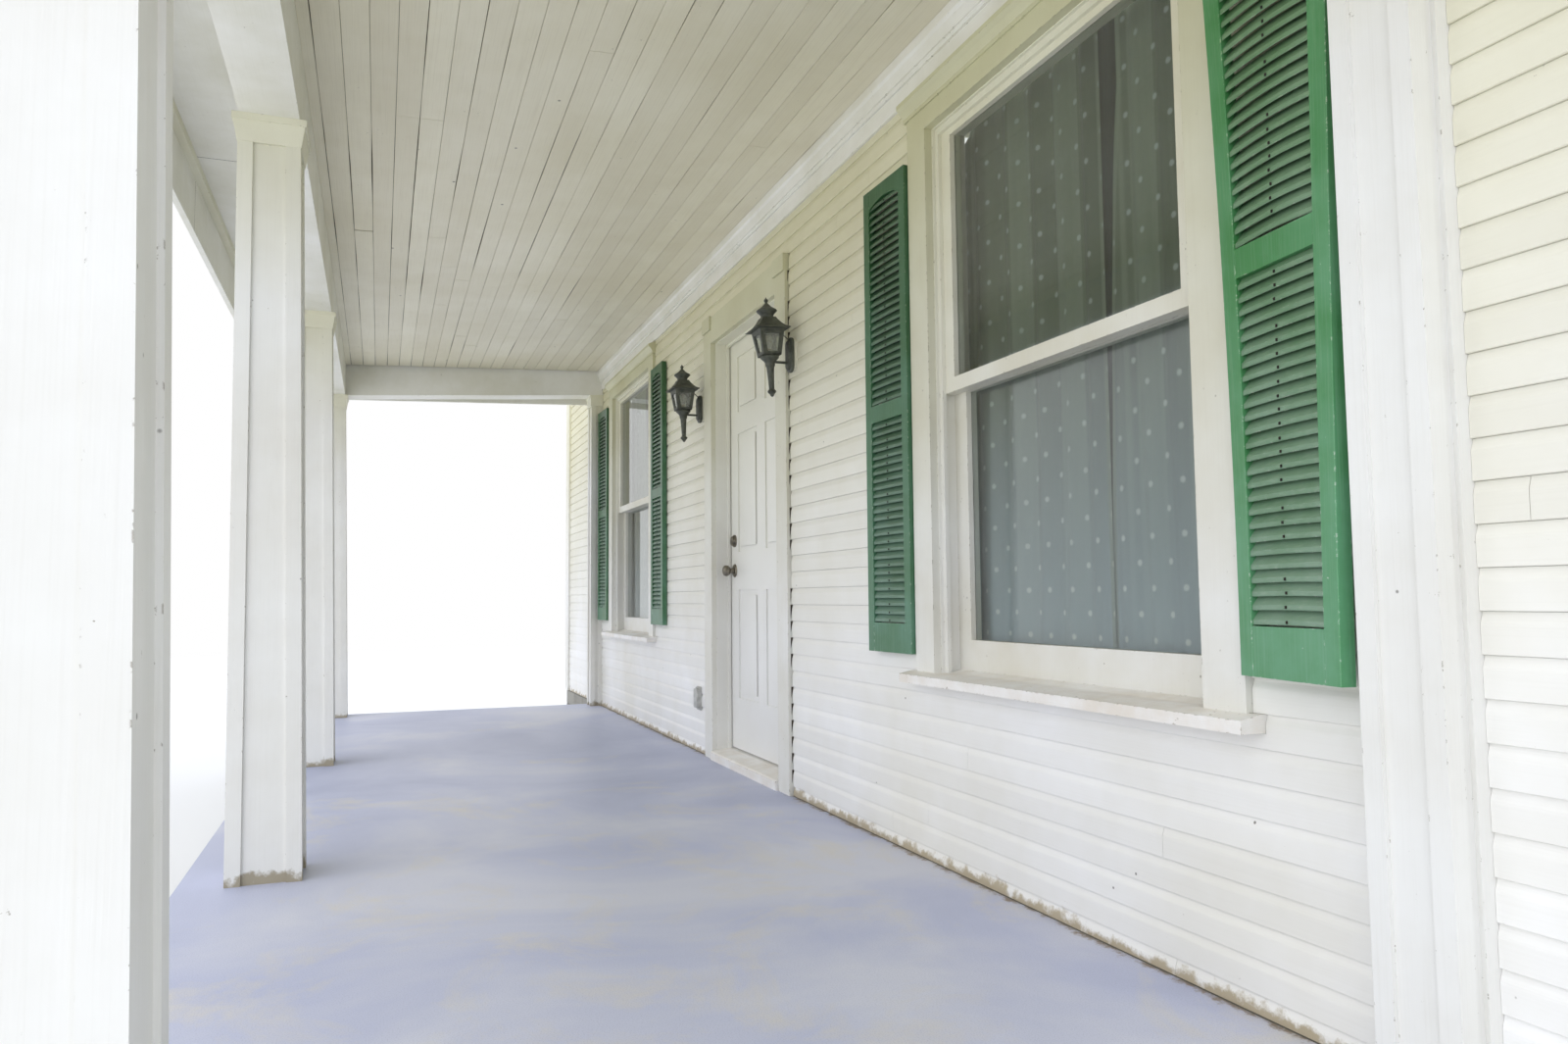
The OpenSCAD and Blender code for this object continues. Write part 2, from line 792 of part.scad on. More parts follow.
// A long plate with rounded ends.
module wall_plate(half, tall) {
    end_r = 1.15 * half;
    intersection() {
        square([2 * half, 2 * tall], center = true);
        union() {
            square([3 * half, 2 * (tall - end_r)], center = true);
            for (s = [-1, 1]) translate([0, s * (tall - end_r)]) circle(r = end_r);
        }
    }
}

// Body, wall plate, and the arm to the collar under the cage.
module lantern() {
    arm_z = -72;
    translate([0, -lantern_reach, 0]) scale(lantern_unit) lantern_body();
    scale(lantern_unit) {
        rotate([90, 0, 0]) linear_extrude(14) wall_plate(32, 125);
        rotate([90, 0, 0]) linear_extrude(24) wall_plate(22, 112);
    }
    translate([0, -lantern_reach, arm_z * lantern_unit]) rotate([-90, 0, 0])
        cylinder(r = 7 * lantern_unit, h = lantern_reach - 10);
}

module at_lanterns() {
    both_sides() translate([lantern_x, 0, lantern_z]) children();
}

module lanterns() {
    color([0.16, 0.17, 0.16]) at_lanterns() lantern();
}

// The glass is one tapered body inside the bars.
module lantern_glass() {
    inset = 14;
    color([0.8, 0.85, 0.8, 0.5]) at_lanterns() translate([0, -lantern_reach, 0])
        scale(lantern_unit) translate([0, 0, cage_top - 2]) mirror([0, 0, 1])
            post(cage_wide - inset, cage_base - inset, cage_top - cage_low - 3);
}

porch_footing_front();
porch_footing_left();
porch_footing_right();
house_footing();
porch_floor();
wall_left();
wall_right();
wall_over_door();
frieze_board();
corner_boards();
columns();
capitals();
pilasters();
front_beam();
end_beams();
ceiling();
soffit();
fascia();
eave_trim();
roof_front();
roof_left();
roof_right();
door_casing();
door_frame();
door_sill();
door_leaf();
door_lockset();
door_hinges();
window_frames();
window_casings();
window_sills();
upper_sashes();
lower_sashes();
window_glass();
curtain_rods();
curtains();
shutters();
lanterns();
lantern_glass();
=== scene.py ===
import bpy
import bmesh
import math
import random
from mathutils import Matrix, Vector, noise


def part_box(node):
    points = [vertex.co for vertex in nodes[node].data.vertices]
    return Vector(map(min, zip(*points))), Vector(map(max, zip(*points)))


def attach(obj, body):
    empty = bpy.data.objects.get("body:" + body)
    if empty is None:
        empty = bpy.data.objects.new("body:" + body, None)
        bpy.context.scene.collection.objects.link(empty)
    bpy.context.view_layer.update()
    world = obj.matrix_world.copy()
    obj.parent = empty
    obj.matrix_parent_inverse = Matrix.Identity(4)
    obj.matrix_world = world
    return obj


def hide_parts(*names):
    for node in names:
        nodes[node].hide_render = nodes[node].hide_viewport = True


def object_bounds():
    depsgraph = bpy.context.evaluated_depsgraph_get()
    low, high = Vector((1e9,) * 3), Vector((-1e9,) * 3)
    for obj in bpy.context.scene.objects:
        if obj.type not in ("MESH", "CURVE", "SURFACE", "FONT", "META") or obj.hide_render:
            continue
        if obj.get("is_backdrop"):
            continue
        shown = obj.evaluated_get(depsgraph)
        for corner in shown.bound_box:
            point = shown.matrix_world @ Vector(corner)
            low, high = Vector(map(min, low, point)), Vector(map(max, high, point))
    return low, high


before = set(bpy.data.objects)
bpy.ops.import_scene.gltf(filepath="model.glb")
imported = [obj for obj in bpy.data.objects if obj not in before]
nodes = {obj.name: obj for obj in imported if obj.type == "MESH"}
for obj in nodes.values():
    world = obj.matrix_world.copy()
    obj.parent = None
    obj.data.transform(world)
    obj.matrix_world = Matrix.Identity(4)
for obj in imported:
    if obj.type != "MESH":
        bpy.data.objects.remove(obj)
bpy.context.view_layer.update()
scene = bpy.context.scene
scene.view_settings.view_transform = "Standard"

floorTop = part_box("porch_floor")[1].z
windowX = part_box("window_sills")[1].x - 0.703  # middle of the right window


# The photograph's place and lens, solved from its edges.
view = {
    "place": (4.656, -1.592, 1.1555),
    "right": (0.35676, 0.93415, -0.00910),
    "up": (0.06928, -0.01674, 0.99746),
    "back": (0.93162, -0.35648, -0.07069),
    "lens": 24.27,
}
cameraData = bpy.data.cameras.new("camera")
cameraData.lens = view["lens"]
cameraData.sensor_width = 36
cameraData.clip_start = 0.05
camera = bpy.data.objects.new("camera", cameraData)
scene.collection.objects.link(camera)
turn = Matrix((view["right"], view["up"], view["back"])).transposed().to_4x4()
camera.matrix_world = Matrix.Translation(view["place"]) @ turn
scene.camera = camera


# Materials

def toLinear(hexColour):
    parts = [int(hexColour[i:i + 2], 16) / 255 for i in (1, 3, 5)]
    return tuple(c / 12.92 if c <= 0.04045 else ((c + 0.055) / 1.055) ** 2.4 for c in parts) + (1.0,)


# Adds a node; settings are its inputs or its options, links are sockets that feed it. Gives one output.
def addNode(tree, kind, settings=None, links=None, out=0):
    node = tree.nodes.new("ShaderNode" + kind)
    for name, value in (settings or {}).items():
        if name == "stops":
            ramp = node.color_ramp
            while len(ramp.elements) < len(value):
                ramp.elements.new(1)
            for element, (place, colour) in zip(ramp.elements, value):
                element.position = place
                element.color = toLinear(colour)
            continue
        if isinstance(value, str) and value.startswith("#"):
            value = toLinear(value)
        if isinstance(name, int) or name in node.inputs:
            node.inputs[name].default_value = value
        else:
            setattr(node, name, value)
    for name, source in (links or {}).items():
        tree.links.new(source, node.inputs[name])
    return node.outputs[out] if len(node.outputs) > out else node


# The nodes used most: noise, a value brought to a range, a ramp of colours, one axis of a vector,
# arithmetic on sockets and numbers, one colour laid over another, and relief.
def noised(tree, place, scale, detail, rough=0.5, warp=0.0):
    settings = {"Scale": scale, "Detail": detail, "Roughness": rough, "Distortion": warp}
    return addNode(tree, "TexNoise", settings, {"Vector": place})


def ranged(tree, value, low, high, most=1.0, least=0.0):
    settings = {"From Min": low, "From Max": high, "To Min": least, "To Max": most}
    return addNode(tree, "MapRange", settings, {"Value": value})


def ramped(tree, value, *stops):
    return addNode(tree, "ValToRGB", {"stops": stops}, {0: value})


def axisOf(tree, vector, axis):
    return addNode(tree, "SeparateXYZ", None, {0: vector}, axis)


def reckoned(tree, operation, *terms):
    settings, links = {"operation": operation}, {}
    for i, term in enumerate(terms):
        (settings if isinstance(term, (int, float)) else links)[i] = term
    return addNode(tree, "Math", settings, links)


def laidOver(tree, under, over, amount, blend="MIX"):
    settings, links = {"data_type": "RGBA", "blend_type": blend}, {0: amount}
    for socket, colour in ((6, under), (7, over)):
        (settings if isinstance(colour, str) else links)[socket] = colour
    return addNode(tree, "Mix", settings, links, 2)


def bumped(tree, shader, strength, distance, height):
    bump = addNode(tree, "Bump", {"Strength": strength, "Distance": distance}, {"Height": height})
    tree.links.new(bump, shader["Normal"])


def newFinish(name, settings):
    made = bpy.data.materials.new(name)
    made.use_nodes = True
    tree = made.node_tree
    tree.nodes.clear()
    shader = addNode(tree, "BsdfPrincipled", settings)
    addNode(tree, "OutputMaterial", None, {"Surface": shader})
    place = addNode(tree, "TexCoord", None, None, 3)
    return made, tree, shader.node.inputs, place


# Brushed oil paint on old boards: streaks along the grain, soft stains, grey wood where it has
# chipped on edges and in small flakes, and dark specks.
def paintedBoards(name, look):
    made, tree, shader, place = newFinish(name, {"Roughness": look["roughness"]})
    grain = [260.0, 260.0, 260.0]  # brush marks and grain about 4 mm apart
    grain["xyz".index(look["grain"])] = 4.0
    along = addNode(tree, "Mapping", {"Scale": grain}, {"Vector": place})
    streaks = noised(tree, along, 1.0, 3.0)
    stains = noised(tree, place, look.get("stainScale", 1.6), 5.0, 0.6)
    amount = ranged(tree, stains, 0.36, 0.68)
    colour = laidOver(tree, look["paint"], look["stain"], amount)
    amount = ranged(tree, streaks, 0.5, 0.8, look["streak"])
    colour = laidOver(tree, colour, look["dirt"], amount)
    if "rowPitch" in look:  # each board differs a little
        high = axisOf(tree, place, "xyz".index(look["rowAxis"]))
        pitch = look["rowPitch"]
        row = reckoned(tree, "MULTIPLY_ADD", high, 1 / pitch, -look["rowStart"] / pitch)
        row = reckoned(tree, "FLOOR", row)
        chance = addNode(tree, "TexWhiteNoise", {"noise_dimensions": "1D"}, {"W": row})
        amount = ranged(tree, chance, 0.0, 1.0, look["rowShade"])
        colour = laidOver(tree, colour, look["dirt"], amount)
    flakes = noised(tree, place, look.get("flakeScale", 55.0), 4.0, 0.7)
    where = noised(tree, place, 5.0, 2.0)
    where = ranged(tree, where, 0.5, 0.62)
    bare = ranged(tree, flakes, 0.72 - look["chips"], 0.74 - look["chips"])
    bare = reckoned(tree, "MULTIPLY", bare, where)
    if look["edge"]:
        rounded = addNode(tree, "Bevel", {"samples": 4, "Radius": look["edge"]})
        flat = addNode(tree, "NewGeometry", None, None, 1)
        facing = addNode(tree, "VectorMath", {"operation": "DOT_PRODUCT"}, {0: rounded, 1: flat}, 1)
        worn = ranged(tree, facing, 0.99, 0.9)
        rough = ranged(tree, flakes, look["edgeStart"], look["edgeStart"] + 0.03)
        worn = reckoned(tree, "MULTIPLY", worn, rough)
        bare = reckoned(tree, "MAXIMUM", bare, worn)
    colour = laidOver(tree, colour, look["wood"], bare)
    specks = addNode(tree, "TexVoronoi", {"Scale": look.get("speckScale", 9.0)}, {"Vector": place})
    amount = ranged(tree, specks, 0.035, 0.02, look["specks"])
    colour = laidOver(tree, colour, "#4a4238", amount)
    if "splash" in look:  # rain splash and peeling just above the porch floor
        high = axisOf(tree, place, 2)
        near = ranged(tree, high, floorTop + look["splash"], floorTop, 0.3, least=-0.35)
        patchy = noised(tree, place, 14.0, 6.0, 0.7)
        amount = reckoned(tree, "ADD", near, patchy)
        amount = ranged(tree, amount, 0.56, 0.7)
        colour = laidOver(tree, colour, look["splashColour"], amount)
    high = axisOf(tree, place, 2)  # paint yellowed with age under the roof, where rain does not reach, and painted shade with a warm bounce of light, both growing with height
    amount = ranged(tree, high, floorTop + look["agedAndShadeFrom"], floorTop + agedAndShadeWhole)
    colour = laidOver(tree, colour, look["agedAndShadeTint"], amount, "MULTIPLY")
    tree.links.new(colour, shader["Base Color"])
    gloss = ranged(tree, stains, 0.0, 1.0, look["roughness"] + 0.1, least=look["roughness"] - 0.06)
    tree.links.new(gloss, shader["Roughness"])
    height = reckoned(tree, "MULTIPLY_ADD", bare, -0.6, streaks)
    bumped(tree, shader, look["bump"], 0.0006, height)
    return made


agedAndShadeWhole = 2.3  # height above the floor from which the yellowing and the painted shade are at full strength
white = {"paint": "#e9e9e6", "stain": "#dedcd5", "dirt": "#c3bfb2", "wood": "#8f877a", "streak": 0.10,
         "roughness": 0.42, "bump": 0.35, "chips": 0.0, "edge": 0.004, "edgeStart": 0.62, "specks": 0.5,
         "grain": "x", "agedAndShadeTint": "#faf8e2", "agedAndShadeFrom": 0.9}
trimAcross = paintedBoards("whiteOilPaintOnPineAcross", white)
trimUp = paintedBoards("whiteOilPaintOnPineUp", dict(white, grain="z"))
columnPaint = paintedBoards("whiteOilPaintOnColumns", dict(
    white, grain="z", splash=0.09, splashColour="#a39a86", chips=0.02, specks=0.7, agedAndShadeFrom=1.7))
casingPaint = paintedBoards("whiteOilPaintOnCasings", dict(
    white, grain="z", stain="#dad7cb", chips=0.03, edgeStart=0.57, agedAndShadeTint="#e0deba", agedAndShadeFrom=0.8))
sillPaint = paintedBoards("whiteOilPaintOnSills", dict(
    white, paint="#f3f2f0", stain="#e4ddd2", stainScale=6.0, chips=0.06, edgeStart=0.55, wood="#9a8c78"))
sashPaint = paintedBoards("whiteOilPaintOnSashes", dict(
    white, grain="z", stain="#d8d4c6", chips=0.04, edge=0.003, edgeStart=0.56))
beamPaint = paintedBoards("whiteOilPaintOnBeams", dict(
    white, paint="#f2f2f2", stain="#e2e1d9", stainScale=2.5, chips=0.02, edgeStart=0.6, agedAndShadeTint="#fbfaf1"))

clapboard = {"pitch": 0.06688, "firstButt": 0.0383, "thick": 0.010, "cove": 0.0055, "coveStart": 0.044,
             "round": 0.0014, "gap": 0.0006, "joint": 0.001, "lengths": (1.9, 3.9), "caulkGap": 0.0065,
             "seed": 7}
sidingPaint = paintedBoards("whiteAcrylicPaintOnClapboards", dict(
    white, paint="#f5f5f5", stain="#e8e6de", stainScale=1.1, edge=0, chips=0.0, streak=0.06, specks=0.8,
    agedAndShadeTint="#e6e2c2", agedAndShadeFrom=0.5,
    rowPitch=clapboard["pitch"], rowAxis="z", rowStart=floorTop + clapboard["firstButt"], rowShade=0.12,
    splash=0.075, splashColour="#b3a78e"))

plank = {"pitch": 0.0796, "firstSeam": -1.805, "thick": 0.005, "chamfer": 0.0007, "gap": 0.0019,
         "step": 0.11, "seed": 11}
ceilingPaint = paintedBoards("creamOilPaintOnPlanks", dict(
    white, paint="#f1eee4", stain="#e4dfcf", dirt="#beb5a3", stainScale=1.4, agedAndShadeTint="#fbf9ea", edge=0,
    chips=0.03, streak=0.22, specks=0.9, speckScale=5.0, rowPitch=plank["pitch"], rowAxis="y",
    rowStart=plank["firstSeam"], rowShade=0.22, bump=0.5))

doorPaint = paintedBoards("whiteSatinEnamelOnSteel", dict(
    white, agedAndShadeFrom=0.6, paint="#ececea", stain="#e6e5e1", streak=0.03, grain="z", roughness=0.3, bump=0.12,
    edge=0, specks=0.0))

# Gloss paint on the shutters: the far ones take darker copies of the paint as painted shade, and the louvres
# are paler, with dust lying on them and a painted sheen.
green = dict(white, paint="#448750", stain="#619b74", dirt="#8fb09c", wood="#cfd6cb", grain="z", streak=0.3,
             stainScale=5.0, agedAndShadeTint="#d6e0b8", roughness=0.36, bump=0.4, edge=0.003, edgeStart=0.57,
             specks=0.25, flakeScale=80.0)
shutterPaint = paintedBoards("greenGlossPaintOnPine", green)
shadedShutterPaint = paintedBoards("greenPaintOnPineInPaintedShade", dict(
    green, paint="#376b43", stain="#54826a", agedAndShadeTint="#b4bf96", agedAndShadeFrom=0.7))
shadedLouvrePaint = paintedBoards("greenPaintOnLouvresInPaintedShade", dict(
    green, paint="#53735a", stain="#6b8a7a", dirt="#93a497", grain="x", edge=0.0015, edgeStart=0.60,
    roughness=0.42, agedAndShadeTint="#a9b48e", agedAndShadeFrom=0.7))
dustAndSheenLouvrePaint = paintedBoards("dustyGreenPaintOnLouvresWithPaintedSheen", dict(
    green, paint="#678a6b", stain="#809c87", dirt="#a3b0a0", grain="x", edge=0.0015, edgeStart=0.60,
    roughness=0.42))
lanternBlockPaint = paintedBoards("whitePaintOnMountingBlocks", dict(white, edge=0.002, chips=0.02))
enamelRod = paintedBoards("whiteEnamelOnSteelRod", dict(
    white, edge=0, streak=0.0, specks=0.0, roughness=0.25, bump=0.05))


# Weathered sheathing outside and hand-trowelled plaster inside.
def wallCore():
    made, tree, shader, place = newFinish("sheathingAndPlaster", {"Roughness": 0.8})
    deep = axisOf(tree, place, 1)
    inside = ranged(tree, deep, 0.11, 0.115)
    along = addNode(tree, "Mapping", {"Scale": (6.0, 90.0, 90.0)}, {"Vector": place})
    grain = noised(tree, along, 1.0, 5.0)
    old = ramped(tree, grain, (0.3, "#1d1915"), (0.7, "#3d342b"))
    trowel = noised(tree, place, 3.5, 6.0, 0.55)
    plaster = ramped(tree, trowel, (0.35, "#dedad0"), (0.65, "#e8e5dc"))
    colour = laidOver(tree, old, plaster, inside)
    tree.links.new(colour, shader["Base Color"])
    bumped(tree, shader, 0.4, 0.002, trowel)
    return made


# Bare old pine behind the open seams, nearly black in the photograph; its dark tone is partly the wood's own
# and partly painted shade in the seams and joints.
def jointAndSeamShadeWood():
    made, tree, shader, place = newFinish("oldPineDarkForJointsAndSeamShade", {"Roughness": 0.9})
    along = addNode(tree, "Mapping", {"Scale": (5.0, 120.0, 120.0)}, {"Vector": place})
    grain = noised(tree, along, 1.0, 4.0)
    colour = ramped(tree, grain, (0.3, "#2b241d"), (0.7, "#4c4236"))
    tree.links.new(colour, shader["Base Color"])
    return made


# Floor paint on concrete: blue grey, rubbed pale where people walk, with a thin brown line of dirt.
def floorPaint():
    made, tree, shader, place = newFinish("greyFloorPaintOnConcrete", {"Roughness": 0.4})
    swirl = noised(tree, place, 0.9, 5.0, 0.55, warp=0.7)
    colour = ramped(tree, swirl, (0.32, "#abb1cd"), (0.5, "#bcc1da"), (0.66, "#d1d3e0"))
    worn = noised(tree, place, 2.1, 8.0, 0.68, warp=0.5)
    side = axisOf(tree, place, 0)
    walk = ranged(tree, side, -0.6, 2.4, 0.07, least=-0.03)
    worn = reckoned(tree, "ADD", worn, walk)
    amount = ranged(tree, worn, 0.56, 0.72, 0.75)
    colour = laidOver(tree, colour, "#d8d3ca", amount)
    grit = noised(tree, place, 320.0, 3.0)
    amount = ranged(tree, grit, 0.5, 0.75, 0.35)
    colour = laidOver(tree, colour, "#868a9c", amount)
    deep = axisOf(tree, place, 1)
    wall = ranged(tree, deep, -0.09, -0.012, 0.14, least=-0.4)
    crumbs = noised(tree, place, 22.0, 7.0, 0.75)
    amount = reckoned(tree, "ADD", wall, crumbs)
    amount = ranged(tree, amount, 0.52, 0.66, 0.9)
    colour = laidOver(tree, colour, "#85745f", amount)
    up = addNode(tree, "NewGeometry", None, None, 1)
    up = axisOf(tree, up, 2)
    edge = ranged(tree, up, 0.5, 0.2)
    colour = laidOver(tree, colour, "#9c9a93", edge)
    tree.links.new(colour, shader["Base Color"])
    gloss = ranged(tree, worn, 0.0, 1.0, 0.55, least=0.30)
    tree.links.new(gloss, shader["Roughness"])
    bumped(tree, shader, 0.25, 0.001, grit)
    return made


# Grey masonry: cast blocks, gritty, with pale lime bloom.
def masonry(name, low, high):
    made, tree, shader, place = newFinish(name, {"Roughness": 0.88})
    bloom = noised(tree, place, 2.5, 6.0)
    grit = noised(tree, place, 170.0, 4.0, 0.7)
    colour = ramped(tree, bloom, (0.35, low), (0.65, high))
    amount = ranged(tree, grit, 0.45, 0.7, 0.4)
    colour = laidOver(tree, colour, "#6a6862", amount)
    tree.links.new(colour, shader["Base Color"])
    bumped(tree, shader, 0.7, 0.002, grit)
    return made


# Asphalt shingles: mineral granules about 1.5 mm across, each tab a shade of its own.
def shingleGrit():
    made, tree, shader, place = newFinish("asphaltShingleGranules", {"Roughness": 0.92})
    tab = addNode(tree, "Attribute", {"attribute_name": "shade"}, None, 2)
    granules = addNode(tree, "TexVoronoi", {"Scale": 420.0}, {"Vector": place}, 1)
    grit = addNode(tree, "SeparateColor", None, {0: granules})
    amount = reckoned(tree, "MULTIPLY_ADD", grit, 0.45, tab)
    colour = ramped(tree, amount, (0.0, "#3f4042"), (0.6, "#57585a"), (1.0, "#76767a"))
    weather = noised(tree, place, 0.8, 5.0)
    weather = ranged(tree, weather, 0.5, 0.75, 0.5)
    colour = laidOver(tree, colour, "#6c6a63", weather)
    tree.links.new(colour, shader["Base Color"])
    bumped(tree, shader, 0.6, 0.001, grit)
    return made


# Metal with a rubbed or weathered surface.
def metal(name, look):
    settings = {"Metallic": look["metallic"], "Roughness": look["roughness"]}
    made, tree, shader, place = newFinish(name, settings)
    wear = noised(tree, place, look["scale"], 6.0, 0.65)
    colour = ramped(tree, wear, (0.35, look["dark"]), (0.68, look["light"]))
    tree.links.new(colour, shader["Base Color"])
    gloss = ranged(tree, wear, 0.0, 1.0, look["roughness"] + 0.15, least=look["roughness"] - 0.1)
    tree.links.new(gloss, shader["Roughness"])
    bumped(tree, shader, look["bump"], 0.0005, wear)
    return made


pewter = metal("agedPewterFinish", {
    "metallic": 1.0, "roughness": 0.36, "scale": 60.0, "dark": "#6a655b", "light": "#989184", "bump": 0.1})
hingeSteel = metal("zincPlatedSteel", {
    "metallic": 1.0, "roughness": 0.35, "scale": 90.0, "dark": "#a9a8a4", "light": "#c4c3bf", "bump": 0.08})
lanternCoat = metal("weatheredBlackPaintOnAluminium", {
    "metallic": 0.0, "roughness": 0.5, "scale": 38.0, "dark": "#33362f", "light": "#5b5e52", "bump": 0.35})
flashingMetal = metal("galvanisedSteelFlashing", {
    "metallic": 0.9, "roughness": 0.5, "scale": 26.0, "dark": "#84888a", "light": "#a7abab", "bump": 0.1})
rustedStaple = metal("rustedSteelStaple", {
    "metallic": 0.0, "roughness": 0.8, "scale": 120.0, "dark": "#15130f", "light": "#2c241b", "bump": 0.2})
socketBrass = metal("lampSocketBrass", {
    "metallic": 1.0, "roughness": 0.4, "scale": 80.0, "dark": "#8c7a4c", "light": "#a8945f", "bump": 0.05})


# Window glass: clear, with a film of dust that is thicker on the lower panes.
def paneGlass(name, look):
    made, tree, shader, place = newFinish(name, {"Base Color": look["tint"], "IOR": 1.5, "Roughness": 0.02})
    film = noised(tree, place, look["scale"], 6.0, 0.65)
    high = axisOf(tree, place, 2)
    low = ranged(tree, high, look["clearAbove"], look["dustyBelow"], look["filmLow"], least=look["filmHigh"])
    clear = reckoned(tree, "MULTIPLY_ADD", film, look["filmPatch"], low)
    clear = addNode(tree, "Math", {"operation": "SUBTRACT", 0: 1.0, "use_clamp": True}, {1: clear})
    tree.links.new(clear, shader["Transmission Weight"])
    return made


windowGlass = paneGlass("floatGlass", {
    "tint": "#f1f6f4", "scale": 7.0, "clearAbove": floorTop + 1.47, "dustyBelow": floorTop + 1.42,
    "filmHigh": -0.02, "filmLow": -0.01, "filmPatch": 0.04})
lampGlass = paneGlass("dustyLampGlass", {
    "tint": "#e6e9df", "scale": 30.0, "clearAbove": floorTop + 1.9, "dustyBelow": floorTop + 1.8,
    "filmHigh": 0.03, "filmLow": 0.1, "filmPatch": 0.2})


# Milk glass of the bulb.
def bulbGlass():
    made, tree, shader, place = newFinish("milkGlassBulb", {"Roughness": 0.22, "Subsurface Weight": 0.3,
                                                           "Subsurface Scale": 0.01})
    dust = noised(tree, place, 90.0, 5.0)
    colour = ramped(tree, dust, (0.35, "#cfccbe"), (0.6, "#e6e4da"))
    tree.links.new(colour, shader["Base Color"])
    return made


# Cotton voile with woven dots 17 mm across and threads as waves of relief. Its grey-green and darker fold tone
# are painted shade: the dark room behind the sheer cloth and the shade in its folds. Layers of cloth behind it
# and the hems show as soft steps of lighter tone, and a low part lit by the porch floor is painted light.
# Where the two lengths part, the dark room is drawn on the cloth as a narrow V of painted shade. Measures are
# in metres of flat cloth.
voile = {"dotPitch": (0.112, 0.0625), "dotRadius": 0.0085, "dotShows": 0.85, "threadWave": 660.0 / 6.2832,
         "cloth": "#76806b", "fold": "#5d6654", "dot": "#dde5e2", "layer": "#8d9883", "low": "#acbfcf",
         "lowTo": 1.05, "lowMost": 0.85, "dark": "#1d231c", "partFrom": 0.30, "partTo": 1.563,
         "partWide": 0.078, "partHidden": 0.0075, "hem": 0.014, "otherStart": 10 * 0.112}


def voileCloth():
    made, tree, shader, place = newFinish("dottedCottonVoileWithPaintedShade", {"Roughness": 0.85, "Sheen Weight": 0.15})
    cloth = addNode(tree, "UVMap", {"uv_map": "metres"})
    parts = addNode(tree, "SeparateXYZ", None, {0: cloth}).node.outputs
    side = reckoned(tree, "DIVIDE", parts[0], voile["dotPitch"][0])
    up = reckoned(tree, "DIVIDE", parts[1], voile["dotPitch"][1])
    row = reckoned(tree, "FLOOR", up)
    odd = reckoned(tree, "PINGPONG", row, 1.0)
    side = reckoned(tree, "MULTIPLY_ADD", odd, 0.5, side)
    side = reckoned(tree, "FRACT", side)
    up = reckoned(tree, "FRACT", up)
    side = reckoned(tree, "SUBTRACT", side, 0.5)
    up = reckoned(tree, "SUBTRACT", up, 0.5)
    side = reckoned(tree, "MULTIPLY", side, voile["dotPitch"][0])
    up = reckoned(tree, "MULTIPLY", up, voile["dotPitch"][1])
    away = addNode(tree, "CombineXYZ", None, {0: side, 1: up})
    away = addNode(tree, "VectorMath", {"operation": "LENGTH"}, {0: away}, 1)
    dots = ranged(tree, away, voile["dotRadius"] * 1.2, voile["dotRadius"] * 0.6, voile["dotShows"])
    waves = {"Scale": voile["threadWave"], "wave_profile": "SIN", "bands_direction": "Y"}
    threads = addNode(tree, "TexWave", waves, {"Vector": cloth}, 1)
    long = noised(tree, place, 5.0, 4.0)
    # cloth and fold tones: painted shade of the dark room behind and of the folds
    colour = laidOver(tree, voile["fold"], voile["cloth"], long)
    high = ranged(tree, parts[1], voile["lowTo"], 0.0, voile["lowMost"])
    steps = addNode(tree, "CombineXYZ", None, {0: parts[0]})
    steps = noised(tree, steps, 9.0, 1.0)
    # bands of lighter layer tone and darker fold tone: painted light and shade of the cloth's layers and folds
    for edge, tone, most in ((0.50, "layer", 0.55), (0.42, "fold", 0.6)):
        amount = ranged(tree, steps, edge, edge + (0.012 if tone == "layer" else -0.012), most)
        colour = laidOver(tree, colour, voile[tone], amount)
    colour = laidOver(tree, colour, voile["low"], high)
    shown = ranged(tree, high, 0.0, voile["lowMost"], least=0.5)
    dots = reckoned(tree, "MULTIPLY", dots, shown)
    colour = laidOver(tree, colour, voile["dot"], dots)
    apart = ranged(tree, parts[1], voile["partFrom"], voile["partTo"])
    apart = reckoned(tree, "POWER", apart, 1.5)
    apart = reckoned(tree, "MULTIPLY_ADD", apart, voile["partWide"], voile["partHidden"])
    beyond = reckoned(tree, "SUBTRACT", parts[0], apart)
    amount = ranged(tree, beyond, voile["hem"], voile["hem"] - 0.001, 0.5)
    colour = laidOver(tree, colour, voile["layer"], amount)
    strip = reckoned(tree, "COMPARE", parts[0], voile["otherStart"] + voile["hem"] / 2, voile["hem"] / 2)
    strip = reckoned(tree, "MULTIPLY", strip, 0.5)
    colour = laidOver(tree, colour, voile["layer"], strip)
    # the dark V where the lengths part: painted shade of the room behind
    amount = ranged(tree, beyond, 0.0008, -0.0008)
    colour = laidOver(tree, colour, voile["dark"], amount)
    tree.links.new(colour, shader["Base Color"])
    bumped(tree, shader, 0.2, 0.0005, threads)
    return made


# Moulded plastic of the weatherproof cover, chalky with age.
def coverPlastic():
    made, tree, shader, place = newFinish("chalkyMouldedPlastic", {"Roughness": 0.55})
    chalk = noised(tree, place, 45.0, 5.0)
    colour = ramped(tree, chalk, (0.35, "#a9a9a6"), (0.65, "#c4c4c0"))
    tree.links.new(colour, shader["Base Color"])
    return made


finishes = {
    "wallCore": wallCore(), "seam": jointAndSeamShadeWood(), "floor": floorPaint(),
    "block": masonry("castConcreteBlock", "#8d8b85", "#a5a39b"),
    "mortar": masonry("limeMortar", "#77756e", "#8b8981"),
    "shingle": shingleGrit(), "bulb": bulbGlass(), "voile": voileCloth(), "plastic": coverPlastic(),
}
print("materials ready")

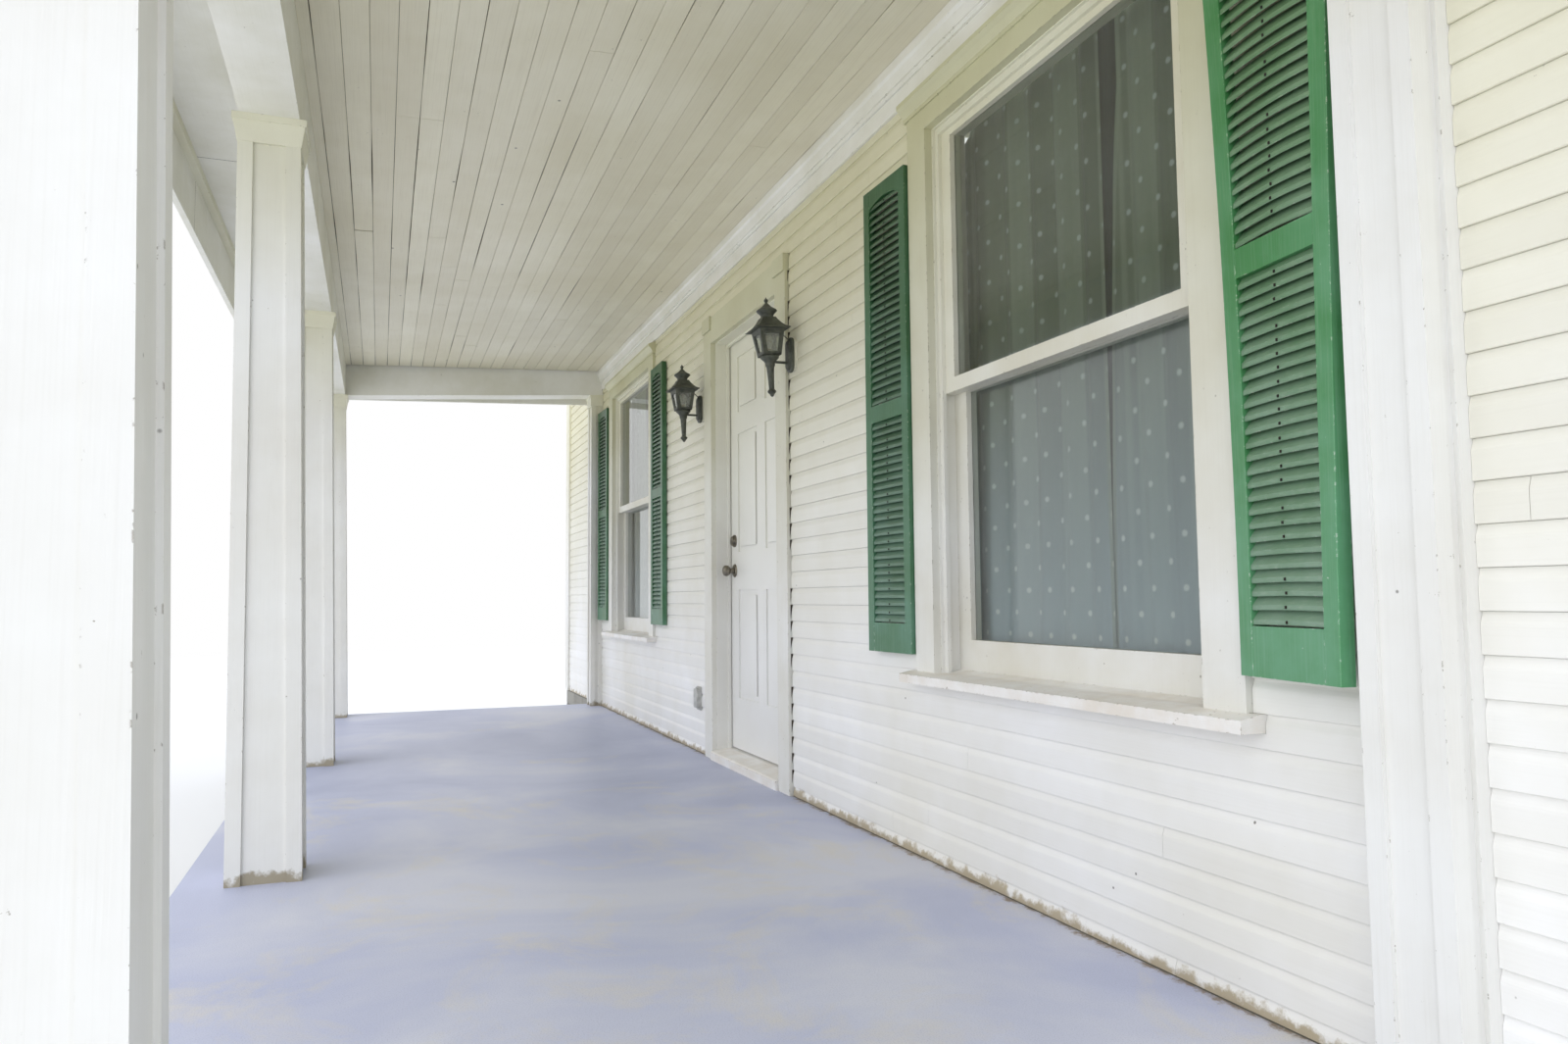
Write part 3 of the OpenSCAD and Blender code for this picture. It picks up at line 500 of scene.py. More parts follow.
nodeFinish = {
    "porch_footing_front": finishes["mortar"], "porch_footing_left": finishes["mortar"],
    "porch_footing_right": finishes["mortar"], "house_footing": finishes["mortar"],
    "porch_floor": finishes["floor"], "wall_left": finishes["wallCore"], "wall_right": finishes["wallCore"],
    "wall_over_door": finishes["wallCore"], "frieze_board": beamPaint, "corner_boards": trimUp,
    "columns": columnPaint, "capitals": trimAcross, "pilasters": columnPaint, "front_beam": beamPaint,
    # the ceiling's dark boards show between the planks as painted shade in the seams
    "end_beams": beamPaint, "ceiling": finishes["seam"], "soffit": beamPaint, "fascia": beamPaint,
    "eave_trim": trimAcross, "roof_front": finishes["seam"], "roof_left": finishes["seam"],
    "roof_right": finishes["seam"], "door_casing": casingPaint, "door_frame": trimUp, "door_sill": sillPaint,
    "door_leaf": doorPaint, "door_lockset": pewter, "door_hinges": hingeSteel, "window_frames": trimUp,
    "window_casings": casingPaint, "window_sills": sillPaint, "upper_sashes": sashPaint,
    "lower_sashes": sashPaint, "window_glass": windowGlass, "curtain_rods": enamelRod,
}
for name, finish in nodeFinish.items():
    nodes[name].data.materials.clear()
    nodes[name].data.materials.append(finish)


# Making pieces

def newPiece(name, bm, finish, smoothAngle=None):
    bmesh.ops.recalc_face_normals(bm, faces=bm.faces)
    mesh = bpy.data.meshes.new(name)
    bm.to_mesh(mesh)
    bm.free()
    piece = bpy.data.objects.new(name, mesh)
    scene.collection.objects.link(piece)
    mesh.materials.append(finish)
    if smoothAngle is not None:
        mesh.shade_smooth()
        mesh.set_sharp_from_angle(angle=math.radians(smoothAngle))
    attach(piece, "porch")
    return piece


# Joins rings of the same number of points into a closed body.
def addLoft(bm, rings):
    made = [[bm.verts.new(p) for p in ring] for ring in rings]
    count = len(made[0])
    for a, b in zip(made, made[1:]):
        for i in range(count):
            j = (i + 1) % count
            bm.faces.new((a[i], a[j], b[j], b[i]))
    bm.faces.new(made[0])
    bm.faces.new(list(reversed(made[-1])))


def addBox(bm, low, high):
    corners = ((low[0], low[1]), (high[0], low[1]), (high[0], high[1]), (low[0], high[1]))
    addLoft(bm, [[(x, y, z) for x, y in corners] for z in (low[2], high[2])])


fourCorners = ((-1, -1), (1, -1), (1, 1), (-1, 1))


# Rings of a turned or square body about its own axis, from half its width and the height.
def turnedRings(profile, sides):
    turns = [math.tau * i / sides for i in range(sides)]
    return [[(r * math.cos(a), r * math.sin(a), z) for a in turns] for r, z in profile]


def squareRings(profile):
    return [[(a * w, b * w, z) for a, b in fourCorners] for w, z in profile]


# Cuts everything on the normal's side of a plane away and closes what is left.
def cutAway(bm, point, normal):
    everything = bm.verts[:] + bm.edges[:] + bm.faces[:]
    bmesh.ops.bisect_plane(bm, geom=everything, plane_co=point, plane_no=normal, clear_outer=True)
    bmesh.ops.holes_fill(bm, edges=[e for e in bm.edges if e.is_boundary])


def smoothStep(x, low, high):
    t = min(max((x - low) / (high - low), 0), 1)
    return t * t * (3 - 2 * t)


# Clapboards: narrow drop siding with a cove at the top of each board.
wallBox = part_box("wall_right")
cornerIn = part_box("corner_boards")[1].x - 0.145
ceilingSlope = 0.0418
ceilingWall = 2.907
roofPitch = math.radians(18.5)
draw = random.Random(clapboard["seed"])


def boardProfile(z0, z1):
    thick, cove = clapboard["thick"], clapboard["cove"]
    start = z0 + clapboard["coveStart"]
    points = [(-thick + clapboard["round"], z0), (-thick, z0 + clapboard["round"])]
    for i in range(6):
        t = i / 5
        points.append((-thick + cove * math.sin(t * math.pi / 2) ** 2, start + (z1 - start) * t))
    return points


# The outer line of a board between two heights, closed along the wall.
def clipProfile(points, low, high):
    def depth(z):
        for (y0, a), (y1, b) in zip(points, points[1:]):
            if a <= z <= b:
                return y0 + (y1 - y0) * (z - a) / (b - a)
        return points[-1][0]
    inside = [(y, z) for y, z in points if low + 1e-5 < z < high - 1e-5]
    return [(0, low), (depth(low), low)] + inside + [(depth(high), high), (0, high)]


# Parts of low..high that no blocked span covers.
def freeSpans(low, high, blocked):
    spans = []
    for a, b in sorted(blocked):
        if a > low:
            spans.append((low, min(a, high)))
        low = max(low, b)
    return [(a, b) for a, b in spans + [(low, high)] if b - a > 0.004]


# What stands on the wall, as x from, x to, z from, z to: frieze board and soffit in the middle, and at both
# ends a pilaster, its capital, the end beam, two strips of the eave and the fascia.
standing = {"middle": [(-3.366, 3.366, 2.7545, 2.9), (-3.8155, 3.8155, 2.829, 2.9)],
            "ends": [(3.3635, 3.5130, 0, 2.62), (3.3513, 3.5257, 2.60, 2.73), (3.3635, 3.5305, 2.70, 2.9),
                     (3.529, 3.549, 2.805, 2.85), (3.7835, 3.8155, 2.799, 2.85),
                     (3.8135, 3.8385, 2.718, 2.95)]}


def wallObstacles():
    casing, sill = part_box("door_casing"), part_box("window_frames")[0].z
    gaps = [draw.uniform(0.002, clapboard["caulkGap"]) * (draw.random() < 0.75) for _ in range(2)]
    taken = [(-casing[1].x - gaps[0], casing[1].x + gaps[1], 0, casing[1].z + 0.001)] + standing["middle"]
    # casing, sill and drip cap of a window, as half width, z from, z to
    around = ((0.674, sill - 0.02, 2.69), (0.704, sill - 0.036, sill + 0.0005), (0.688, 2.678, 2.757))
    for s in (-1, 1):
        middle = s * windowX
        taken += [(middle - half, middle + half, low, high) for half, low, high in around]
        taken += [(*sorted((s * a, s * b)), low, high) for a, b, low, high in standing["ends"]]
    return taken


# Above the roof the boards are cut along its slopes: height where these boards start, top edge of the roof
# at the eave and its x, x of the ridge's end, and the run between them.
overRoof = {"start": 2.9, "eaveTop": 2.918, "eave": 3.87, "ridge": 1.53, "run": 2.34}


def addBoards(bm, boards):
    mesh = bpy.data.meshes.new("part")
    boards.to_mesh(mesh)
    boards.free()
    bm.from_mesh(mesh)
    bpy.data.meshes.remove(mesh)


def clapboards():
    bm = bmesh.new()
    top = wallBox[1].z
    row = -1
    while True:
        z0 = floorTop + clapboard["firstButt"] + row * clapboard["pitch"]
        z1 = z0 + clapboard["pitch"] - clapboard["gap"]
        row += 1
        if z0 > top - 0.012:
            break
        taken = wallObstacles()
        ends = [-cornerIn]
        while ends[-1] < cornerIn - 1.2:
            ends.append(min(ends[-1] + draw.uniform(*clapboard["lengths"]), cornerIn))
        ends[-1] = cornerIn
        profile = boardProfile(z0, z1)
        low, high = max(z0, floorTop + 0.002), min(z1, top)
        levels = sorted({low, high} | {z for t in taken for z in t[2:] if low + 1e-4 < z < high - 1e-4})
        for za, zb in zip(levels, levels[1:]):
            band = clipProfile(profile, za, zb)
            blocked = [(t[0], t[1]) for t in taken if t[2] < (za + zb) / 2 < t[3]]
            for a, b in freeSpans(-cornerIn, cornerIn, blocked):
                for c, d in freeSpans(a, b, [(e, e + clapboard["joint"]) for e in ends[1:-1]]):
                    addLoft(bm, [[(x, y, z) for y, z in band] for x in (c, d)])
    slope, start, ridge = math.tan(roofPitch), overRoof["start"], overRoof["ridge"]
    upper = bmesh.new()
    for side in (-1, 0, 1):
        part = bm.copy()
        cutAway(part, (0, 0, start), (0, 0, -1))
        if side:
            cutAway(part, (side * ridge, 0, 0), (-side, 0, 0))
            falling = Vector((-side * slope, 0, -1)).normalized()
            cutAway(part, (side * overRoof["eave"], 0, overRoof["eaveTop"]), falling)
        else:
            cutAway(part, (ridge, 0, 0), (1, 0, 0))
            cutAway(part, (-ridge, 0, 0), (-1, 0, 0))
            cutAway(part, (0, 0, overRoof["eaveTop"] + overRoof["run"] * slope), (0, 0, -1))
        addBoards(upper, part)
    cutAway(bm, (0, 0, start), (0, 0, 1))
    addBoards(bm, upper)
    return newPiece("clapboards", bm, sidingPaint)


siding = clapboards()
print("clapboards", len(siding.data.polygons))


# Ceiling planks with cracked and open seams.
openSeams = [  # y of the seam, from and to along the porch, width in millimetres
    (-1.485, -0.67, 0.85, 4.5), (-1.725, -0.39, 0.59, 4), (-1.805, -0.18, 0.77, 3.5),
    (-1.25, 0.17, 0.59, 3.5), (-1.01, 0.10, 0.85, 4), (-0.93, -1.0, 0.85, 4.5), (-0.77, -0.6, -0.2, 3.5),
]
plankJoints = {3: [0.849], 7: [0.398], 6: [-0.179], 1: [-0.404], 14: [0.858], 19: [0.913], 4: [0.845]}


def seamWidth(y, x):
    wide = plank["gap"] * (0.55 + 1.1 * noise.noise(Vector((x * 1.3, y * 9, 4.2))) ** 2 * 4)
    for seam, low, high, width in openSeams:
        if abs(seam - y) < 0.03:
            shape = smoothStep(x, low - 0.1, low + 0.05) * (1 - smoothStep(x, high - 0.05, high + 0.1))
            rough = 0.6 + 0.7 * abs(noise.noise(Vector((x * 7, y * 5, 1))))
            wide = max(wide, width / 1000 * shape * rough)
    wide = max(wide, 0.003 * (1 - smoothStep(x, -3.2, -2.7)))
    return wide


def ceilingPlanks():
    bm = bmesh.new()
    chance = random.Random(plank["seed"])
    thick, chamfer = plank["thick"], plank["chamfer"]
    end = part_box("end_beams")[1].x - 0.165
    front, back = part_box("front_beam")[1].y, -0.040
    rows = 22
    for row in range(-1, rows + 1):
        low = plank["firstSeam"] + row * plank["pitch"]
        high = low + plank["pitch"]
        joints = plankJoints.get(row, []) + [chance.uniform(-3.0, -1.6), chance.uniform(-1.2, -0.4),
                                             chance.uniform(1.3, 3.0)][:2 if row % 2 else 3]
        ragged = 0.004 + 0.02 * abs(noise.noise(Vector((0, low * 3.1, 7)))) + chance.uniform(0, 0.006)
        ends = sorted([-end + ragged] + joints + [end - 0.001])
        for a, b in zip(ends, ends[1:]):
            if b - a < 0.25:
                continue
            drop = chance.uniform(-0.0006, 0.0006)
            steps = max(2, round((b - a) / plank["step"]))
            rings = []
            for i in range(steps + 1):
                x = a + 0.0012 + (b - a - 0.0012) * i / steps
                y0 = max(low + seamWidth(low, x) / 2, front)
                y1 = min(high - seamWidth(high, x) / 2, back)
                sag = drop + 0.0005 * noise.noise(Vector((x * 1.7, low * 11, 2)))
                shape = [(y0, 0), (y0, -thick + chamfer), (y0 + chamfer, -thick), (y1 - chamfer, -thick),
                         (y1, -thick + chamfer), (y1, 0)]
                rings.append([(x, y, ceilingWall + y * ceilingSlope + (z - sag if z else -0.0002))
                              for y, z in shape])
            addLoft(bm, rings)
    return newPiece("ceilingPlanks", bm, ceilingPaint)


planks = ceilingPlanks()
print("ceiling planks", len(planks.data.polygons))


# Roof: three-tab shingles, hip caps and flashing. Its top meets the wall between the two ridge ends.
shingle = {"exposure": 0.143, "tab": 0.305, "slot": 0.006, "butt": 0.006, "lap": 0.012, "seed": 3,
           "cap": 0.13, "capHalf": 0.11}
roof = {"eaveX": 3.8565, "eaveY": 2.3325, "ridge": 1.524, "side": 2.34}
roofSides = {
    "roofShinglesFront": {"eave": (0, -roof["eaveY"]), "along": (1, 0), "half": roof["eaveX"]},
    "roofShinglesRight": {"eave": (roof["eaveX"], 0), "along": (0, 1), "half": roof["side"]},
    "roofShinglesLeft": {"eave": (-roof["eaveX"], 0), "along": (0, 1), "half": roof["side"]},
}
eaveTop = 2.872 - 0.02 * math.tan(roofPitch) + 0.03 / math.cos(roofPitch)


# Adds one tab and gives its faces a shade.
def addTab(bm, rings, shades, shade):
    first = len(bm.faces)
    addLoft(bm, rings)
    bm.faces.ensure_lookup_table()
    for f in range(first, len(bm.faces)):
        bm.faces[f][shades] = shade


def shingleSlope(name, side):
    bm = bmesh.new()
    shades = bm.faces.layers.int.new("tabShade")
    chance = random.Random(shingle["seed"] + len(name))
    ex, ey = side["eave"]
    along = Vector((side["along"][0], side["along"][1], 0))
    inward = Vector((-ex, -ey, 0)).normalized()
    up = (inward * math.cos(roofPitch) + Vector((0, 0, math.sin(roofPitch)))).normalized()
    out = Vector((0, 0, 1)) * math.cos(roofPitch) - inward * math.sin(roofPitch)
    base = Vector((ex, ey, eaveTop))
    run = roof["eaveY"] / math.cos(roofPitch)
    low, high = -side["half"], side["half"] if along.x else 0
    for row in range(math.ceil(run / shingle["exposure"])):
        v0 = row * shingle["exposure"] + 0.002
        v1 = min(v0 + shingle["exposure"] + shingle["lap"], run)
        u = low - shingle["tab"] * (0.5 if row % 2 else 0) - chance.uniform(0, 0.02)
        while u < high:
            a, b = u + shingle["slot"] / 2, u + shingle["tab"] - shingle["slot"] / 2
            u += shingle["tab"]
            section = ((v0, 0), (v0, shingle["butt"] + chance.uniform(0, 0.0012)), (v1, 0.0015), (v1, 0))
            rings = [[base + along * s + up * v + out * h for v, h in section] for s in (a, b)]
            addTab(bm, rings, shades, chance.randint(0, 100))
    hip = 0.7071 if along.x else -0.7071
    for s in (-1, 1) if along.x else (math.copysign(1, ex),):
        cutAway(bm, (s * roof["ridge"], 0, 0), (s * hip, hip, 0))
    cutAway(bm, (0, -0.002, 0), (0, 1, 0))
    cutAway(bm, (ex, ey, 0), -inward)
    piece = newPiece(name, bm, finishes["shingle"])
    shadePiece(piece)


# A shade for each tab, kept as a colour on the mesh.
def shadePiece(piece):
    mesh = piece.data
    shades = mesh.attributes["tabShade"]
    layer = mesh.color_attributes.new("shade", "FLOAT_COLOR", "CORNER")
    for face in mesh.polygons:
        tone = shades.data[face.index].value / 100 * 0.5
        for corner in face.loop_indices:
            layer.data[corner].color = (tone, tone, tone, 1)


def hipCaps():
    bm = bmesh.new()
    shades = bm.faces.layers.int.new("tabShade")
    chance = random.Random(shingle["seed"])
    slope, half = math.tan(roofPitch), shingle["capHalf"]
    for s in (-1, 1):
        start = Vector((s * roof["eaveX"], -roof["eaveY"], eaveTop))
        line = Vector((-s * roof["eaveY"], roof["eaveY"], roof["eaveY"] * slope))
        length = line.length
        line.normalize()
        for i in range(int(length / shingle["cap"]) + 1):
            near, far = i * shingle["cap"] + 0.003, min((i + 1.15) * shingle["cap"], length - 0.01)
            rings = []
            for d, lift in ((near, 0.012), (far, 0.006)):
                p = start + line * d
                top = [p + Vector((-s * half, 0, 0)), p, p + Vector((0, half, 0))]
                rings.append([q + Vector((0, 0, 0.003)) for q in top] +
                             [q + Vector((0, 0, lift)) for q in reversed(top)])
            addTab(bm, rings, shades, chance.randint(0, 100))
    cutAway(bm, (0, -0.004, 0), (0, 1, 0))
    cutAway(bm, (0, -roof["eaveY"], 0), (0, -1, 0))
    for s in (-1, 1):
        cutAway(bm, (s * roof["eaveX"], 0, 0), (s, 0, 0))
    piece = newPiece("hipCaps", bm, finishes["shingle"])
    shadePiece(piece)


# A bent strip of metal where the roof meets the wall.
flashing = {"rise": 0.034, "reach": 0.09, "thick": 0.0012, "over": 0.010, "back": -0.001, "foot": 0.002}


def wallFlashing():
    bm = bmesh.new()
    slope = math.tan(roofPitch)
    low = eaveTop + flashing["over"]
    high = low + roof["eaveY"] * slope
    rise, reach, thick, back, foot = (flashing[k] for k in ("rise", "reach", "thick", "back", "foot"))
    rings = []
    for x, z in ((-roof["eaveX"], low), (-roof["ridge"], high), (roof["ridge"], high), (roof["eaveX"], low)):
        drop = reach * slope if abs(x) < 2 else 0
        rings.append([(x, back, z + rise), (x, back - thick, z + rise), (x, back - thick, z + foot + thick),
                      (x, -reach, z + thick + foot - drop), (x, -reach, z + foot - drop),
                      (x, back, z + foot)])
    addLoft(bm, rings)
    newPiece("wallFlashing", bm, flashingMetal)


for name, side in roofSides.items():
    shingleSlope(name, side)
hipCaps()
wallFlashing()
print("roof ready")


# Footings: rough concrete blocks with raked joints.
block = {"long": 0.395, "tall": 0.12, "joint": 0.010, "proud": 0.006, "rough": 0.0022, "end": 0.002,
         "cell": 0.05, "levels": 3}


def blockFace(bm, start, along, out, length, high):
    rows = round(high / block["tall"])
    tall, levels, joint = high / rows, block["levels"], block["joint"] / 2
    for row in range(rows):
        s = -block["long"] * (0.5 if row % 2 else 0)
        while s < length:
            a, b = max(s + joint, block["end"]), min(s + block["long"] - joint, length - block["end"])
            s += block["long"]
            if b - a < 0.03:
                continue
            z0, z1 = row * tall + joint, (row + 1) * tall - joint
            columns = max(2, round((b - a) / block["cell"]))
            grid = []
            for i in range(columns + 1):
                line = []
                for j in range(levels + 1):
                    u, z = a + (b - a) * i / columns, z0 + (z1 - z0) * j / levels
                    border = i in (0, columns) or j in (0, levels)
                    bulge = 0 if border else block["proud"] * 0.35 + block["rough"] * noise.noise(
                        Vector((u * 13 + start[0], z * 13, start[1] + row)))
                    p = Vector(start) + Vector(along) * u + Vector(out) * (block["proud"] * 0.6 + bulge)
                    line.append(bm.verts.new((p.x, p.y, z)))
                grid.append(line)
            for i in range(columns):
                for j in range(levels):
                    bm.faces.new((grid[i][j], grid[i + 1][j], grid[i + 1][j + 1], grid[i][j + 1]))
            rim = [grid[i][0] for i in range(columns + 1)]
            rim += [grid[columns][j] for j in range(1, levels + 1)]
            rim += [grid[i][levels] for i in range(columns - 1, -1, -1)]
            rim += [grid[0][j] for j in range(levels - 1, 0, -1)]
            back = [bm.verts.new(Vector(v.co) - Vector(out) * (block["proud"] * 0.6 + 0.001)) for v in rim]
            for i in range(len(rim)):
                j = (i + 1) % len(rim)
                bm.faces.new((rim[j], rim[i], back[i], back[j]))
            bm.faces.new(back)


def footingBlocks():
    bm = bmesh.new()
    front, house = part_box("porch_footing_front"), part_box("house_footing")
    faces = [(front[0].x, front[0].y, (1, 0, 0), (0, -1, 0), front[1].x - front[0].x, front[1].z)]
    for s in (-1, 1):
        a, b = sorted((s * front[1].x, s * house[1].x))
        faces += [(s * front[1].x, front[0].y, (0, 1, 0), (s, 0, 0), house[0].y - front[0].y, front[1].z),
                  (s * house[1].x, house[0].y, (0, 1, 0), (s, 0, 0), house[1].y - house[0].y, house[1].z),
                  (a, house[0].y, (1, 0, 0), (0, -1, 0), b - a, house[1].z)]
    faces.append((house[0].x, house[1].y, (1, 0, 0), (0, 1, 0), house[1].x - house[0].x, house[1].z))
    for x, y, along, out, length, high in faces:
        blockFace(bm, (x, y, 0), along, out, length, high)
    return newPiece("footingBlocks", bm, finishes["block"])


blocks = footingBlocks()
print("footing blocks", len(blocks.data.polygons))


# Curtains: gathered on the rod, each panel one length of cloth.
curtain = {"fullness": 1.04, "pocket": 0.030, "rod": 0.0062, "pleats": 4.5, "clear": 0.0012, "meet": 0.074,
           "overlap": 0.015, "apart": 0.0055, "outer": 0.5595, "rodY": 0.150, "underHead": 0.010,
           "wallIn": 0.1218, "columns": 120, "rows": 46, "seed": 21}


def curtainPanel(name, window, side, seed):
    rodY, rodZ = curtain["rodY"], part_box("window_frames")[1].z - curtain["underHead"]
    inFront = side != window  # this length passes in front of the other by the overlap
    inner = -curtain["meet"] - curtain["overlap"] if inFront else curtain["meet"]
    middle, outer = window * windowX, curtain["outer"]  # from the window's middle
    width = outer - inner
    flatWidth = width * curtain["fullness"]
    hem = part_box("curtains")[0].z + 0.004
    chance = random.Random(seed)
    phases = [chance.uniform(0, math.tau) for _ in range(6)]
    skin = curtain["rod"] + curtain["clear"]
    # the path of one thread: up the front, round the rod, down the back
    path = [(hem + (rodZ - hem) * j / curtain["rows"], "front") for j in range(curtain["rows"] + 1)]
    arc = [(math.pi * k / 8, "arc") for k in range(1, 8)]
    back = [(rodZ - curtain["pocket"] * k / 4, "back") for k in range(0, 5)]

    def pleat(u, v, size):
        phase = (u * curtain["pleats"] + 0.35 * math.sin(3 * u + phases[0]) + 0.18 * math.sin(
            2.2 * v + phases[1]) * (1 - v)) * math.tau
        wave = 0.5 + 0.5 * math.sin(phase)
        fine = 0.12 * math.sin(phase * 2.7 + phases[2] + 2 * v)
        return size * min(max(wave + fine, 0.0), 1.1)

    def rowPoints(size, v, kind, at):
        points = []
        for i in range(curtain["columns"] + 1):
            u = i / curtain["columns"]
            free = smoothStep(u, 0.02, 0.08)
            out = pleat(u, v, size) * free + (curtain["apart"] if inFront else 0.0) * (1 - free)
            if kind == "front":  # the outer edge turns back to the wall below the rod
                y, z = rodY - skin - out, at
                y -= (y - curtain["wallIn"]) * smoothStep(u, 0.955, 0.99) * (1 - smoothStep(v, 0.985, 0.998))
            elif kind == "arc":
                y = rodY - (skin + out * 0.8) * math.cos(at)
                z = rodZ + (skin + 0.009 + out * 0.1) * math.sin(at)
            else:
                y, z = rodY + skin + out * 0.8, at
            points.append(Vector((middle + side * (inner + width * u), y, z)))
        return points

    def lengthOf(points):
        return sum((b - a).length for a, b in zip(points, points[1:]))

    low, high = 0.0, 0.05
    for _ in range(24):
        size = (low + high) / 2
        short = lengthOf(rowPoints(size, 0.5, "front", 1.5)) < flatWidth
        low, high = (size, high) if short else (low, size)
    bm = bmesh.new()
    uvs = bm.loops.layers.uv.new("metres")
    rows, heights = [], []
    travelled = 0.0
    for at, kind in path + arc + back:
        v = (at - hem) / (rodZ - hem) if kind == "front" else 1.0
        rows.append([bm.verts.new(p) for p in rowPoints(size, v, kind, at)])
        if len(rows) > 1:
            travelled += (rows[-1][0].co - rows[-2][0].co).length
        heights.append(travelled)
    start = 0.0 if side == window else voile["otherStart"]  # only one length of a window shows the parting
    across = [start + flatWidth * i / curtain["columns"] for i in range(curtain["columns"] + 1)]
    for j in range(len(rows) - 1):
        for i in range(curtain["columns"]):
            face = bm.faces.new((rows[j][i], rows[j][i + 1], rows[j + 1][i + 1], rows[j + 1][i]))
            face.smooth = True
            for loop, (a, b) in zip(face.loops, ((i, j), (i + 1, j), (i + 1, j + 1), (i, j + 1))):
                loop[uvs].uv = (across[a], heights[b])
    area = sum(f.calc_area() for f in bm.faces)
    piece = newPiece(name, bm, finishes["voile"])
    print(name, "fold depth", round(size, 4), "flat", flatWidth, round(travelled, 3), "area", round(area, 3))
    return piece


panels = []
for window, hand in ((-1, "Left"), (1, "Right")):
    for side in (-1, 1):
        name = "curtain" + hand + ("Outer" if side == window else "Inner")
        panels.append(curtainPanel(name, window, side, curtain["seed"] + len(panels)))
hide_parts("curtains")


# Shutters: true louvres with the staples of their lost tilt rods. The one nearest the corner is warped.
shutter = {"width": 0.289, "height": 1.569, "thick": 0.028, "stile": 0.040, "bottomRail": 0.095,
           "midRail": 0.057, "lowTop": 0.764, "spring": 1.497, "rise": 0.024, "archShape": 0.7,
           "pitch": 0.0252, "railFront": 0.0006, "railBack": 0.001, "lip": 0.0105, "slope": 0.027,
           "louvreFront": 0.0035, "louvreBack": 0.003, "hinge": 0.678, "steps": 12, "stapled": 0.8,
           "staple": ((0.002, 0.003, 0.0015), (0.0015, 0.0025, -0.0025)), "blocksAt": (0.08, 0.11), "seed": 31}
# Window and side; foot above the floor; how far louvres bow; depth of the face at foot, middle and top,
# along the hinge edge (hung) and along the free edge.
hangs = [
    {"window": -1, "side": -1, "foot": 0.6465, "bow": 0.001,
     "hung": (-0.040, -0.040, -0.040), "free": (-0.048, -0.048, -0.050)},
    {"window": -1, "side": 1, "foot": 0.6465, "bow": 0.001,
     "hung": (-0.040, -0.040, -0.040), "free": (-0.040, -0.041, -0.042)},
    {"window": 1, "side": -1, "foot": 0.6230, "bow": 0.0015,
     "hung": (-0.038, -0.038, -0.038), "free": (-0.047, -0.046, -0.044)},
    {"window": 1, "side": 1, "foot": 0.6475, "bow": 0.005,
     "hung": (-0.040, -0.049, -0.085), "free": (-0.1026, -0.0867, -0.064)},
]


# A point of a shutter from its hinge edge, its face and its foot.
def onShutter(hang, across, deep, high):
    v = high / shutter["height"]
    weights = ((1 - v) * (1 - 2 * v), 4 * v * (1 - v), v * (2 * v - 1))
    hung = sum(w * y for w, y in zip(weights, hang["hung"]))
    free = sum(w * y for w, y in zip(weights, hang["free"]))
    lean = (free - hung) / shutter["width"]
    flat = math.sqrt(1 - lean * lean)
    x = hang["window"] * windowX + hang["side"] * (shutter["hinge"] + across * flat - deep * lean)
    return Vector((x, hung + across * lean + deep * flat, floorTop + hang["foot"] + high))


